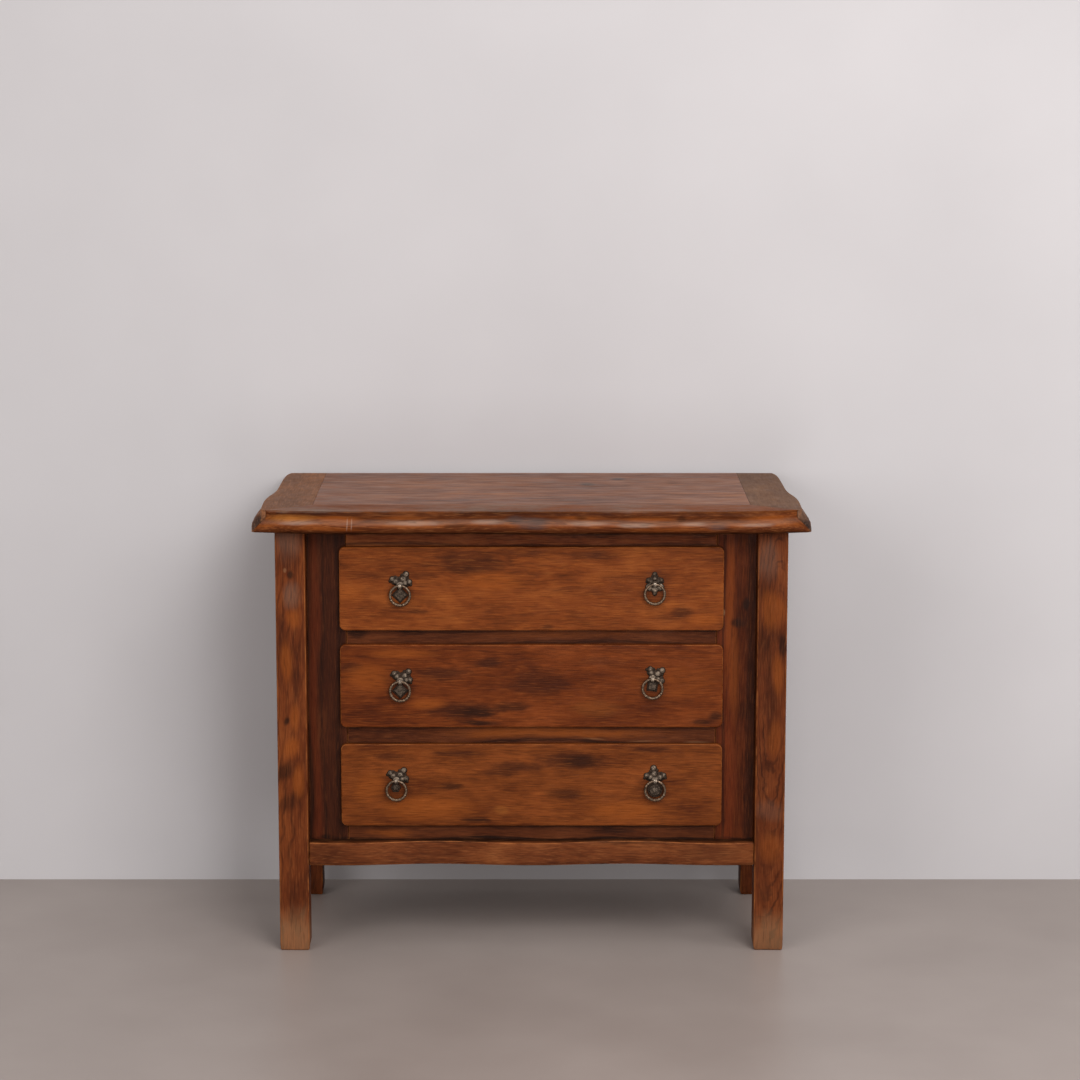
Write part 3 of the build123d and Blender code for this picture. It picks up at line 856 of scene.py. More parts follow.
LEFT_STILE_SPOTS = marks(
    FRAME_Y,
    # Painted shadow in the gap above the apron
    (SOOT, -380, 205, 70, 6, 0.95),
    # Painted shadow in the corner by the post
    (SOOT, -409, 480, 6, ALL_UP, 0.55),
    (RUST, -395, 480, 12, ALL_UP, 0.27),
    (SOOT, -380, 480, 4, ALL_UP, 0.5),
    (UMBER, -368, 480, 14, ALL_UP, 0.6),
    # Painted shadow along the drawers' edge
    (SOOT, -353, 480, 9, ALL_UP, 0.5),
)
RIGHT_STILE_SPOTS = marks(
    FRAME_Y,
    # Painted shadow in the gap above the apron
    (SOOT, 380, 205, 70, 6, 0.95),
    (RUST, 356, 480, 22, ALL_UP, 0.3),
    # Painted shadow along the drawers' edge
    (SOOT, 351, 480, 4, ALL_UP, 0.6),
    (AMBER, 362, 640, 14, 200, 0.21),
    (AMBER, 372, 520, 10, 120, 0.21),
    # Darker towards the post: partly the wood's own tone, partly painted shadow from the post
    (SOOT, 402, 480, 16, ALL_UP, 0.55),
    (SOOT, 389, 650, 9, 16, 0.8),
    (SOOT, 376, 612, 16, 12, 0.75),
    (SCUFF, 351, 627, 4, 9, 0.3),
)
RAIL_SPOTS = {
    "top_front_rail": marks(
        FRAME_Y,
        # Painted shadow along the gap above the upper drawer
        (SOOT, 0, 756, ALL_ALONG, 5, 0.6),
        # Painted shadow under the overhanging top
        (SOOT, 0, 788, ALL_ALONG, 18, 0.8),
    ),
    "upper_divider_rail": marks(
        FRAME_Y,
        # Painted shadow along the gaps at the drawers' edges
        (SOOT, 0, 575, ALL_ALONG, 4, 0.6),
        (SOOT, 0, 601, ALL_ALONG, 5, 0.5),
        (SOOT, -318, 594, 32, 14, 0.75),
        (SOOT, -215, 600, 32, 10, 0.6),
        (AMBER, 60, 590, 200, 12, 0.15),
    ),
    "lower_divider_rail": marks(
        FRAME_Y,
        # Painted shadow along the gaps at the drawers' edges
        (SOOT, 0, 389, ALL_ALONG, 4, 0.5),
        (SOOT, 0, 420, ALL_ALONG, 5, 0.5),
        (SOOT, -325, 418, 28, 10, 0.8),
        (SOOT, -192, 420, 60, 8, 0.6),
        (AMBER, 40, 405, 260, 14, 0.45),
        (SOOT, 160, 389, 110, 4, 0.7),
        (SCUFF, 115, 394, 32, 2.2, 0.12),
        (SCUFF, 205, 393, 40, 2.0, 0.12),
        (SCUFF, 300, 392, 30, 2.2, 0.12),
    ),
    "bottom_front_rail": marks(
        FRAME_Y,
        (AMBER, -251, 218, 45, 10, 0.32),
        (AMBER, -290, 221, 30, 8, 0.2),
        (SOOT, 153, 223, 50, 8, 0.5),
        # Painted shadow in the gap above the apron, and along the lower drawer's edge
        (SOOT, 0, 205, ALL_ALONG, 6, 0.95),
        (SOOT, 0, 234, ALL_ALONG, 5, 0.5),
    ),
}
NOSE_SPOTS = marks(
    NOSE_Y,
    # Painted shade with grime: a dark band in the cove just under the arris
    (SOOT, 0, 822, ALL_ALONG, 8, 0.6),
    (UMBER, 0, 815, ALL_ALONG, 11, 0.6),
    # Painted shade: the nose darkens towards its underside
    (UMBER, 0, 793, ALL_ALONG, 12, 0.7),
    (SOOT, 0, 786, ALL_ALONG, 7, 0.7),
    (HONEY, -440, 814, 70, 9, 0.62),
    (AMBER, -350, 813, 60, 8, 0.55),
    (AMBER, -230, 815, 60, 5, 0.3),
    (AMBER, 90, 815, 60, 5, 0.35),
    (AMBER, 210, 814, 70, 5, 0.35),
    (AMBER, 430, 813, 70, 8, 0.5),
    (AMBER, -380, 797, 100, 5, 0.3),
    (AMBER, 250, 797, 120, 5, 0.25),
    # Painted highlights along the rounded nose
    (CHALK, 0, 808, ALL_ALONG, 7, 0.13),
    (CHALK, -420, 806, 54, 5, 0.29),
    (CHALK, -209, 807, 80, 6.5, 0.31),
    (CHALK, -80, 808, 40, 6, 0.29),
    (CHALK, 100, 807, 50, 6, 0.29),
    (CHALK, 190, 805, 54, 5, 0.31),
    (CHALK, 290, 807, 36, 5, 0.31),
    (CHALK, 400, 804, 50, 4.5, 0.29),
    (SLATE, 0, 806, 46, 13, 0.49),
    (SLATE, -30, 812, 22, 8, 0.35),
    (SLATE, 334, 803, 26, 9, 0.42),
    # Painted shade in the scooped front corners
    (SOOT, -490, 818, 18, 10, 0.7),
    (SOOT, 488, 818, 18, 10, 0.6),
    (SOOT, -130, 802, 40, 5, 0.4),
    (SOOT, 90, 816, 20, 6, 0.6),
    (SOOT, 270, 815, 14, 7, 0.6),
    (CHALK, -332, 806, 1.6, 13, 0.34),
    (CHALK, -324, 806, 1.6, 13, 0.3),
# Painted sheen: a pale wash over the top face of the moulded front board
) + (Spot(CHALK, (0, -200, 835), (ALL_ALONG, 300, 12), 0.5),)
APRON_SPOTS = (
    # Painted shadow and dirt on the ledge along the top of the apron
    Spot(SOOT, (0, -176, 208), (ALL_ALONG, 26, 9), 0.95),
    Spot(UMBER, (-380, -190, 185), (50, 40, 30), 0.45),
    Spot(UMBER, (330, -190, 185), (90, 40, 30), 0.4),
    Spot(UMBER, (0, -190, 163), (ALL_ALONG, 40, 6), 0.5),
)
END_SPOTS = tuple(
    Spot(stain, (side * x, y, z), reach, share)
    for side in (-1, 1)
    for stain, x, y, z, reach, share in (
        (ASH, 450, 0, 832, (ALL_ALONG, ALL_ALONG, 12), 0.3),
        # Painted shade on the side moulding, deepest in the front corners
        (UMBER, 508, 0, 798, (18, ALL_ALONG, 26), 0.6),
        (SOOT, 500, -225, 804, (26, 70, 28), 0.92),
    )
)
PLANK_SPOTS = (
    Spot(SOOT, (106, 102, 827), (20, 22, 40), 0.9),
    Spot(SOOT, (168, 165, 827), (20, 22, 40), 0.9),
)


@dataclass
class WornBoard:
    """A sawn board or post of the carcass, softened by long use.

    Its box comes from the CAD node that it stands for, less the tenons that are hidden in its neighbours.
    """

    node: str
    wood: Wood
    trim_low: Triple = (0.0, 0.0, 0.0)
    trim_high: Triple = (0.0, 0.0, 0.0)
    round_mm: float = 2.0
    step_mm: float = 10.0
    sag_mm: float = 0.5
    chip_mm: float = 0.8
    foot_mm: float = 0.0
    foot_reach_mm: float = 14.0
    foot_uneven_mm: float = 30.0
    arris_share: float = 0.7

    def shape(self) -> BMesh:
        """Builds the worn mesh.

        Returns:
            The board in its place.
        """
        low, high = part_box(self.node)
        low = low + Vector(self.trim_low) * MM
        high = high - Vector(self.trim_high) * MM
        radius = self.round_mm * MM
        bm = make_block(low, high)
        round_edges(bm, list(bm.edges), radius)
        for axis in range(3):
            slice_up(bm, axis, low[axis], high[axis], self.step_mm * MM)
        self.mark_wear(bm, low, high, radius)
        weather(bm, self.sag_mm, self.chip_mm, self.wood.seed)
        if self.foot_mm:
            self.wear_foot(bm, low, high)
        return bm

    def mark_wear(self, bm: BMesh, low: Vector, high: Vector, radius: float) -> None:
        """Fills the wear layer: full on the rounded arrises and nothing on the faces.

        Args:
            bm: The mesh.
            low: The board's lowest corner.
            high: Its highest corner.
            radius: How far its arrises are rounded.
        """
        layer = bm.verts.layers.float.new(WEAR)
        for v in bm.verts:
            inside = sorted(min(v.co[i] - low[i], high[i] - v.co[i]) for i in range(3))
            v[layer] = max(0.0, min(1.0, (1 - inside[1] / radius) / self.arris_share))

    def wear_foot(self, bm: BMesh, low: Vector, high: Vector) -> None:
        """Draws the foot of a post in, where it has been dragged over floors.

        Args:
            bm: The mesh.
            low: The post's lowest corner.
            high: Its highest corner.
        """
        centre = (low + high) / 2
        half = (high.x - low.x) / 2
        reach = self.foot_reach_mm * MM
        for v in bm.verts:
            uneven = sway(v.co, self.foot_uneven_mm, self.wood.seed)
            worn = max(0.0, 1 - (v.co.z - low.z) / reach) ** 2 * uneven
            share = 1 - self.foot_mm * MM / half * worn
            v.co.x = centre.x + (v.co.x - centre.x) * share
            v.co.y = centre.y + (v.co.y - centre.y) * share

    def build(self) -> bpy.types.Object:
        """Builds and dresses the board."""
        finish = self.wood.material()
        return publish(self.shape(), f"worn_{self.node}", finish, "carcass", (self.node,))


@dataclass
class Apron:
    """The serpentine board under the frame, with a worn ledge."""

    wood: Wood
    node: str = "front_apron"
    tenon_mm: float = 12.0
    wave_mm: float = 12.0
    period_mm: float = 345.0
    slope_mm: float = 0.4
    dip_mm: float = 1.8
    round_mm: float = 2.5
    step_mm: float = 9.0
    sag_mm: float = 0.6
    chip_mm: float = 1.4

    def build(self) -> bpy.types.Object:
        """Builds and dresses the apron.

        Returns:
            The new object.
        """
        low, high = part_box(self.node)
        tenon = Vector((self.tenon_mm * MM, 0, 0))
        low, high = low + tenon, high - tenon
        board = WornBoard(self.node, self.wood, round_mm=self.round_mm)
        bm = make_block(low, high)
        radius = self.round_mm * MM
        round_edges(bm, list(bm.edges), radius)
        slice_up(bm, 0, low.x, high.x, self.step_mm * MM)
        slice_up(bm, 2, low.z, high.z, self.step_mm * MM)
        board.mark_wear(bm, low, high, radius)
        weather(bm, self.sag_mm, self.chip_mm, self.wood.seed)
        for v in bm.verts:
            forward = (high.y - v.co.y) / (high.y - low.y)
            up = (v.co.z - low.z) / (high.z - low.z)
            bulge = 1 - wave(v.co.x / MM, self.period_mm)
            v.co.y += forward * self.wave_mm * MM * (1 - bulge)
            v.co.z -= forward * up * (self.slope_mm + self.dip_mm * bulge) * MM
        finish = self.wood.material()
        return publish(bm, f"worn_{self.node}", finish, "carcass", (self.node,))


PLANKS = ("top_front_plank", "top_middle_plank", "top_rear_plank")


@dataclass
class MouldedTop:
    """The thick top: a moulded front board, two moulded end boards and three planks between them."""

    boards: dict[str, Wood]
    height: float = 827.0
    half_width: float = 508.0
    front_y: float = -244.5
    back_y: float = 244.5
    bow: float = 22.0
    bow_power: float = 6.0
    ripple: float = 5.0
    ripple_period: float = 345.0
    end_inner: float = 399.0
    plank_front: float = -144.5
    corner: Pair = (502.5, -219.0)
    side_plan: tuple[Pair, ...] = (
        (-250, 501.5),
        (-230, 504),
        (-195, 507),
        (-160, 508),
        (-110, 508.5),
        (-75, 507.5),
        (-40, 504),
        (-7, 499),
        (33, 496),
        (100, 495.5),
        (160, 495),
        (205, 493.5),
        (228, 490.5),
        (244.5, 486),
    )
    edge_profile: tuple[Pair, ...] = (
        (0, 20.5),
        (3, 20.6),
        (6.5, 20.4),
        (9.5, 18.4),
        (12, 13.4),
        (15, 7.9),
        (19.5, 3.3),
        (24.5, 0.9),
        (29, 0),
        (33, 0.7),
        (36.5, 2.8),
        (38.8, 5.8),
        (40, 9.5),
    )
    side_share: float = 0.88
    side_power: float = 0.55
    corner_scoop: float = 0.8
    corner_share: float = 0.09
    scoop_up: float = 0.66
    carve_mm: Pair = (1.21, 0.99)
    carve_sizes: Pair = (30.0, 11.0)
    drift_mm: float = 2.4
    drift_size: float = 45.0
    dip_mm: Pair = (0.45, 0.2)
    dip_sizes: Pair = (120.0, 35.0)
    arris_mm: float = 1.1
    arris_angle: float = 38.0
    joint_mm: float = 0.15
    strip_mm: float = 1.2
    surface_mm: float = 12.0
    seam_wear: float = 0.1
    mitre_wear: float = 0.8
    cuts: tuple[int, int, int] = (168, 54, 26)
    block_m: Triple = (0.5, 0.5, 0.03)
    wall_share: float = 0.0001
    rim_share: float = 0.02
    seed: float = 4.0

    def nose_y(self, x: float) -> float:
        """How far forward the front edge stands, in millimetres."""
        bow = self.bow * abs(x / self.half_width) ** self.bow_power
        return self.front_y + bow + self.ripple * wave(x, self.ripple_period)

    def edge(self, up: float) -> Pair:
        """Reads the moulding.

        Args:
            up: From 0 at the underside to 1 at the upper surface.

        Returns:
            The drop below the surface and the inset from the nose, in millimetres.
        """
        last = len(self.edge_profile) - 1
        drops = tuple((i, p[0]) for i, p in enumerate(self.edge_profile))
        insets = tuple((i, p[1]) for i, p in enumerate(self.edge_profile))
        at = (1 - up) * last
        return smooth_table(drops, at), smooth_table(insets, at)

    def shape(self) -> BMesh:
        """Builds the whole top in one piece, before it is cut into its boards.

        Returns:
            The closed mesh, with its wear layer filled.
        """
        bm = make_block(Vector((-1, 0, 0)), Vector((1, 1, 1)))
        for axis, cuts in enumerate(self.cuts):
            ring = [e for e in bm.edges if abs((e.verts[0].co - e.verts[1].co)[axis]) > TINY]
            bmesh.ops.subdivide_edges(bm, edges=ring, cuts=cuts, use_grid_fill=True)
        for v in bm.verts:
            v.co = self.warp(v.co)
        bm.normal_update()
        layer = bm.verts.layers.float.new(WEAR)
        rim = [e for e in bm.edges if e.calc_face_angle(0.0) > math.radians(self.arris_angle)]
        for face in round_edges(bm, rim, self.arris_mm * MM, segments=2):
            for v in face.verts:
                v[layer] = 1.0
        return bm

    def uneven(self, place: Vector, deep: Pair, sizes: Pair, step: float) -> float:
        """Adds a coarse and a fine unevenness up.

        Args:
            place: Where, in metres.
            deep: How deep the two are.
            sizes: How far apart their hollows are.
            step: How far the second one's seed is from the first one's.

        Returns:
            The depth in millimetres.
        """
        coarse = deep[0] * sway(place, sizes[0], self.seed)
        return coarse + deep[1] * sway(place, sizes[1], self.seed + step)

    def warp(self, place: Vector) -> Vector:
        """Moves a point of the plain block to its place in the moulded top.

        Args:
            place: From -1 to 1 across, and from 0 to 1 back and up.

        Returns:
            The point in metres.
        """
        across, back, up = place
        drop, inset = self.edge(up)
        deepest = self.edge_profile[0][1]
        beside_inset = self.side_share * deepest * (inset / deepest) ** self.side_power

        # The moulded walls are carved unevenly, at places about as far apart as on the real block
        on_wall = abs(across) > 1 - self.wall_share or back < self.wall_share
        if on_wall and self.rim_share < up < 1 - self.rim_share:
            along = Vector([share * size for share, size in zip(place, self.block_m)])
            carved = self.uneven(along, self.carve_mm, self.carve_sizes, 2)
            inset += carved
            beside_inset += carved
            drift = 2 * sway(along, self.drift_size, self.seed + 5) - 1
            drop += self.drift_mm * math.sin(math.pi * up) * drift
        near_end = max(0.0, 1 - (1 - abs(across)) / self.corner_share)
        near_front = max(0.0, 1 - back / self.corner_share)
        scoop = self.corner_scoop * (near_end * near_front) * min(1.0, (1 - up) / self.scoop_up)
        drop += (self.edge_profile[-1][0] - drop) * scoop
        x = across * (self.half_width - inset)
        y = self.nose_y(x) + inset
        y += (self.back_y - y) * back
        x = across * (smooth_table(self.side_plan, y) - beside_inset)
        front = self.nose_y(x) + inset
        y = front + (self.back_y - front) * back
        flat = Vector((x, y, 0)) * MM
        dip = self.uneven(flat, self.dip_mm, self.dip_sizes, 1) if up > 1 - self.rim_share else 0.0
        return Vector((x, y, self.height - drop - dip)) * MM

    def cut_planes(self) -> dict[str, list[tuple[Vector, Vector]]]:
        """Lists the saw cuts that bound each board.

        Returns:
            For each board, points on its cuts and their outward normals.
        """
        run = self.corner[0] - self.end_inner
        fall = self.corner[1] - self.plank_front
        start = Vector((self.end_inner, self.plank_front, 0)) * MM
        mirror = Vector((-1, 1, 1))
        mitre = Vector((-fall, run, 0)).normalized()
        inner = Vector((self.end_inner, 0, 0)) * MM
        front = Vector((0, self.plank_front, 0)) * MM
        planes = {
            "top_front_board": [
                (front, Vector((0, 1, 0))),
                (start, mitre),
                (start * mirror, mitre * mirror),
            ],
            "top_right_end_board": [(inner, Vector((-1, 0, 0))), (start, -mitre)],
            "top_left_end_board": [(-inner, Vector((1, 0, 0))), (start * mirror, -mitre * mirror)],
        }
        width = (self.back_y - self.plank_front) / len(PLANKS)
        for i, name in enumerate(PLANKS):
            near = Vector((0, self.plank_front + width * i, 0)) * MM
            far = Vector((0, self.plank_front + width * (i + 1), 0)) * MM
            planes[name] = [
                (inner, Vector((1, 0, 0))),
                (-inner, Vector((-1, 0, 0))),
                (near, Vector((0, -1, 0))),
            ]
            if i < len(PLANKS) - 1:
                planes[name].append((far, Vector((0, 1, 0))))
        return planes

    def saw(self, whole: BMesh, planes: list[tuple[Vector, Vector]]) -> BMesh:
        """Cuts one board out of the top and eases the edges of its joints.

        Args:
            whole: The top in one piece.
            planes: The cuts, as points and outward normals.

        Returns:
            The board as a closed mesh.
        """
        bm = whole.copy()
        layer = bm.verts.layers.float[WEAR]
        for middle, outward in planes:
            cut(bm, middle - outward * (self.strip_mm * MM), outward)
            bmesh.ops.edgeloop_fill(bm, edges=cut(bm, middle, outward, clear=True))
        bm.normal_update()
        surface = (self.height - self.surface_mm) * MM
        eased = set()
        for middle, outward in planes:
            for v in bm.verts:
                if abs((v.co - middle).dot(outward)) < TINY and v not in eased:
                    eased.add(v)
                    v[layer] = self.seam_wear if v.co.z > surface else self.mitre_wear
        for v in eased:
            v.co.z -= self.joint_mm * MM if v.co.z > surface else 0.0
        return bm

    def build(self) -> None:
        """Builds and dresses the six boards."""
        whole = self.shape()
        for name, planes in self.cut_planes().items():
            board = self.saw(whole, planes)
            publish(board, f"worn_{name}", self.boards[name].material(), "carcass", (name,))
        whole.free()


@dataclass
class Drawer:
    """One drawer: a worn lipped front over the jointed box that the CAD gives."""

    name: str
    wood: Wood
    inside: bpy.types.Material
    lip_mm: float = 12.0
    corner_mm: float = 11.0
    edge_mm: float = 2.8
    back_edge_mm: float = 0.8
    rub_at: float = 0.3
    step_mm: float = 9.0
    sag_mm: float = 0.45
    chip_mm: float = 1.1
    overlap_mm: float = 2.0
    tuck_mm: float = 1.5

    @property
    def body(self) -> str:
        """The CAD body that this drawer is."""
        return f"{self.name}_drawer"

    def lip(self, low: Vector, high: Vector) -> BMesh:
        """Builds the visible lipped board.

        Args:
            low: The lowest corner of the front.
            high: Its highest corner.

        Returns:
            The worn lip.
        """
        back = low.y + self.lip_mm * MM
        bm = make_block(low, Vector((high.x, back, high.z)))
        corners = [e for e in bm.edges if abs(e.verts[0].co.y - e.verts[1].co.y) > TINY]
        round_edges(bm, corners, self.corner_mm * MM, segments=6)
        front = [e for e in bm.edges if all(abs(v.co.y - low.y) < TINY for v in e.verts)]
        round_edges(bm, front, self.edge_mm * MM, segments=5)
        rear = [e for e in bm.edges if all(abs(v.co.y - back) < TINY for v in e.verts)]
        round_edges(bm, rear, self.back_edge_mm * MM, segments=1)
        slice_up(bm, 0, low.x, high.x, self.step_mm * MM)
        slice_up(bm, 2, low.z, high.z, self.step_mm * MM)
        layer = bm.verts.layers.float.new(WEAR)
        for v in bm.verts:
            down = (v.co.y - low.y) / (self.edge_mm * MM)
            v[layer] = max(0.0, 1 - abs(down - self.rub_at) / self.rub_at)
        weather(bm, self.sag_mm, self.chip_mm, self.wood.seed)
        return bm

    def build(self) -> None:
        """Builds and dresses the front, and dresses the CAD pieces of the box."""
        node = f"{self.name}_drawer_front"
        low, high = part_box(node)
        bm = self.lip(low, high)
        box = bmesh.new()
        box.from_mesh(bpy.data.objects[node].data)
        bmesh.ops.remove_doubles(box, verts=box.verts, dist=TINY)
        cut_y = low.y + (self.lip_mm - self.overlap_mm) * MM
        rim = cut(box, Vector((0, cut_y, 0)), Vector((0, -1, 0)), clear=True)
        bmesh.ops.triangle_fill(box, edges=rim, use_beauty=True, use_dissolve=False)

        # What is left of the CAD lip is tucked in behind the worn one
        tuck = self.tuck_mm * MM
        behind = low.y + self.lip_mm * MM + 10 * TINY
        for v in box.verts:
            within = max(abs(v.co.x) - high.x, low.z - v.co.z, v.co.z - high.z) + tuck
            if v.co.y < behind and within > 0:
                v.co.x *= 1 - tuck / high.x
                v.co.z += tuck if v.co.z < (low.z + high.z) / 2 else -tuck
        spare = bpy.data.meshes.new("drawer_box_front")
        box.to_mesh(spare)
        box.free()
        bm.from_mesh(spare)
        bpy.data.meshes.remove(spare)
        publish(bm, f"worn_{node}", self.wood.material(), self.body, (node,))
        for part in ("left_side", "right_side", "back", "bottom"):
            dress(f"{self.name}_drawer_{part}", self.inside)


# The ring's middle line, how far its eye reaches into it, and where its beads are in degrees
RING_MM = 18.0
EYE_IN_MM = 2.4
BEAD_ANGLES = range(-60, 61, 20)


@dataclass
class RingPull:
    """A loose ring with a run of beads, hung in the eye of a split pin."""

    place: str
    metal: bpy.types.Material
    wire_mm: float = 2.5
    bead_mm: float = 3.1

    def build(self) -> None:
        """Builds and dresses the ring."""
        node = f"{self.place}_pull_ring"
        low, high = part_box(node)
        centre = (low + high) / 2
        centre.z = high.z - (RING_MM + EYE_IN_MM) * MM
        bm = bmesh.new()
        bmesh.ops.create_circle(bm, segments=14, radius=self.wire_mm * MM)
        bmesh.ops.translate(bm, vec=(RING_MM * MM, 0, 0), verts=bm.verts)
        quarter = Matrix.Rotation(math.radians(90), 4, "Z")
        bmesh.ops.spin(
            bm,
            geom=everything(bm),
            cent=(0, 0, 0),
            axis=(0, 1, 0),
            dvec=(0, 0, 0),
            angle=2 * math.pi,
            steps=60,
            use_merge=True,
        )
        bmesh.ops.remove_doubles(bm, verts=bm.verts, dist=TINY)
        for angle in BEAD_ANGLES:
            turn = math.radians(angle)
            out = Vector((math.sin(turn), 0, -math.cos(turn))) * RING_MM * MM
            bmesh.ops.create_uvsphere(
                bm,
                u_segments=16,
                v_segments=10,
                radius=self.bead_mm * MM,
                matrix=Matrix.Translation(out) @ quarter,
            )
        bmesh.ops.translate(bm, vec=centre, verts=bm.verts)
        publish(bm, f"beaded_{node}", self.metal, node, (node,))


class Tail(Enum):
    """What the plate ends in below its pin."""

    LOZENGE = "lozenge"
    SHIELD = "shield"
    BADGE = "badge"
    POINT = "point"
    DISH = "dish"


@dataclass(frozen=True)
class Plate:
    """How one cast plate differs from the next."""

    finial_turn: float
    lobe_turn: float
    tail: Tail
    size: float = 1.0


PLATES = {
    "upper_left": Plate(28.0, 10.0, Tail.LOZENGE),
    "upper_right": Plate(0.0, 0.0, Tail.POINT, 0.78),
    "middle_left": Plate(41.0, 22.0, Tail.LOZENGE),
    "middle_right": Plate(50.0, 46.0, Tail.SHIELD),
    "lower_left": Plate(36.0, 20.0, Tail.BADGE),
    "lower_right": Plate(-7.0, 0.0, Tail.DISH),
}
# The domes of a pointed tail, as places across and up and radii, and the layers of a dished one
POINT_DOMES = ((-9.5, -6.0, 8.0), (9.5, -6.0, 8.0), (0, -11.0, 7.0), (0, -18.0, 4.6))
DISH_LAYERS = ((15.0, 14.2, 2.8), (11.5, 10.0, 4.2), (6.0, 4.0, 5.2))
# The knob above every tail
KNOB = (0.0, -6.0, 5.0)
# The other tails: how many sides, their turn in degrees, radius, and place across and up in the ring
CUT_TAILS = {
    Tail.LOZENGE: (4, 0, 16.4, 0.0, 0.0),
    Tail.SHIELD: (4, 52, 14.5, 0.0, 3.5),
    Tail.BADGE: (6, 30, 10.5, -1.5, 4.0),
}
# How much smaller than that radius their layers are, outside and inside, and how thick
CUT_LAYERS = ((0.0, 1.0, 2.6), (3.6, 5.2, 4.4))


@dataclass
class PullPlates:
    """The two cast plates of a drawer: a crown of three budded lobes, a hub and a tail."""

    drawer: str
    metal: bpy.types.Material
    hub: Triple = (0.0, 0.0, 7.8)
    finial: tuple[Triple, ...] = (
        (0.0, 23.0, 6.4),
        (-5.4, 18.2, 3.6),
        (5.4, 18.2, 3.6),
        (0.0, 12.5, 6.6),
    )
    lobe: tuple[Triple, ...] = (
        (15.5, 9.0, 5.8),
        (18.8, 4.4, 3.4),
        (11.3, 13.0, 3.4),
        (8.5, 5.4, 6.0),
    )
    web: tuple[Triple, ...] = (
        (0.0, 8.0, 11.0),
        (10.0, 7.0, 9.0),
        (-10.0, 7.0, 9.0),
        (0.0, 17.0, 8.0),
    )
    rise: float = 0.5
    web_rise: float = 0.17
    voxel_mm: float = 0.5

    def blob(self, bm: BMesh, place: Matrix, x: float, z: float, radius: float, rise: float) -> None:
        """Adds one low dome, cut flat at the back later.

        Args:
            bm: The mesh.
            place: Where the plate's pin is and how the plate is turned.
            x: How far right of the pin.
            z: How far above it.
            radius: The dome's radius.
            rise: Its height as a share of that.
        """
        flat = Matrix.Diagonal((radius * MM, radius * rise * MM, radius * MM, 1.0))
        there = place @ Matrix.Translation(Vector((x, 0, z)) * MM) @ flat
        bmesh.ops.create_uvsphere(bm, u_segments=20, v_segments=12, radius=1.0, matrix=there)

    def stack(self, bm: BMesh, place: Matrix, sides: int, layers: tuple[Triple, ...]) -> None:
        """Adds a stack of plates with sloping edges, each smaller and prouder than the one before.

        Args:
            bm: The mesh.
            place: Where its middle is and how it is turned.
            sides: How many sides each plate has.
            layers: The outer radius, the inner radius and the thickness of each.
        """
        facing = Matrix.Rotation(math.radians(90), 4, "X")
        for outer, inner, deep in layers:
            bmesh.ops.create_cone(
                bm,
                cap_ends=True,
                segments=sides,
                radius1=outer * MM,
                radius2=inner * MM,
                depth=deep * MM,
                matrix=place @ facing,
            )

    def tail(self, bm: BMesh, place: Matrix, kind: Tail) -> None:
        """Adds the part that hangs below the pin, inside the ring.

        Args:
            bm: The mesh.
            place: Where the pin is.
            kind: The shape of the tail.
        """
        middle = place @ Matrix.Translation((0, 0, -RING_MM * MM))
        if kind is Tail.POINT:
            for x, z, radius in POINT_DOMES:
                self.blob(bm, place, x, z, radius, self.rise)
        elif kind is Tail.DISH:
            self.stack(bm, middle, 40, DISH_LAYERS)
        else:
            sides, spin, wide, aside, up = CUT_TAILS[kind]
            turn = Matrix.Rotation(math.radians(spin), 4, "Y")
            lifted = middle @ Matrix.Translation((aside * MM, 0, up * MM)) @ turn
            layers = tuple((wide - outer, wide - inner, deep) for outer, inner, deep in CUT_LAYERS)
            self.stack(bm, lifted, sides, layers)
        self.blob(bm, place, *KNOB, self.rise)

    def build(self) -> None:
        """Builds and dresses the pair of plates."""
        node = f"{self.drawer}_drawer_pull_plates"
        face_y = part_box(f"{self.drawer}_drawer_front")[0].y
        bm = bmesh.new()
        for side in ("left", "right"):
            plate = PLATES[f"{self.drawer}_{side}"]
            low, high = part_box(f"{self.drawer}_{side}_pull_ring")
            pin = Vector(((low.x + high.x) / 2, face_y, high.z - EYE_IN_MM * MM))
            seat = Matrix.Translation(pin) @ Matrix.Scale(plate.size, 4)
            upper = seat @ Matrix.Rotation(math.radians(plate.finial_turn), 4, "Y")
            beside = seat @ Matrix.Rotation(math.radians(plate.lobe_turn), 4, "Y")
            for x, z, radius in (*self.finial, self.hub):
                self.blob(bm, upper, x, z, radius, self.rise)
            for x, z, radius in self.web:
                self.blob(bm, upper if x == 0 else beside, x, z, radius, self.web_rise)
            for x, z, radius in self.lobe:
                self.blob(bm, beside, x, z, radius, self.rise)
                self.blob(bm, beside, -x, z, radius, self.rise)
            self.tail(bm, Matrix.Translation(pin), plate.tail)
        cut(bm, Vector((0, face_y, 0)), Vector((0, 1, 0)), clear=True, near=TINY / 10)
        bmesh.ops.holes_fill(bm, edges=[e for e in bm.edges if e.is_boundary], sides=0)
        piece = publish(bm, f"cast_{node}", self.metal, f"{self.drawer}_drawer", (node,))
        piece.modifiers.clear()
        cast = piece.modifiers.new("cast_in_one", "REMESH")
        cast.mode = "VOXEL"
        cast.voxel_size = self.voxel_mm * MM
        cast.use_smooth_shade = True
        soft = piece.modifiers.new("filed_soft", "SMOOTH")
        soft.iterations = 3


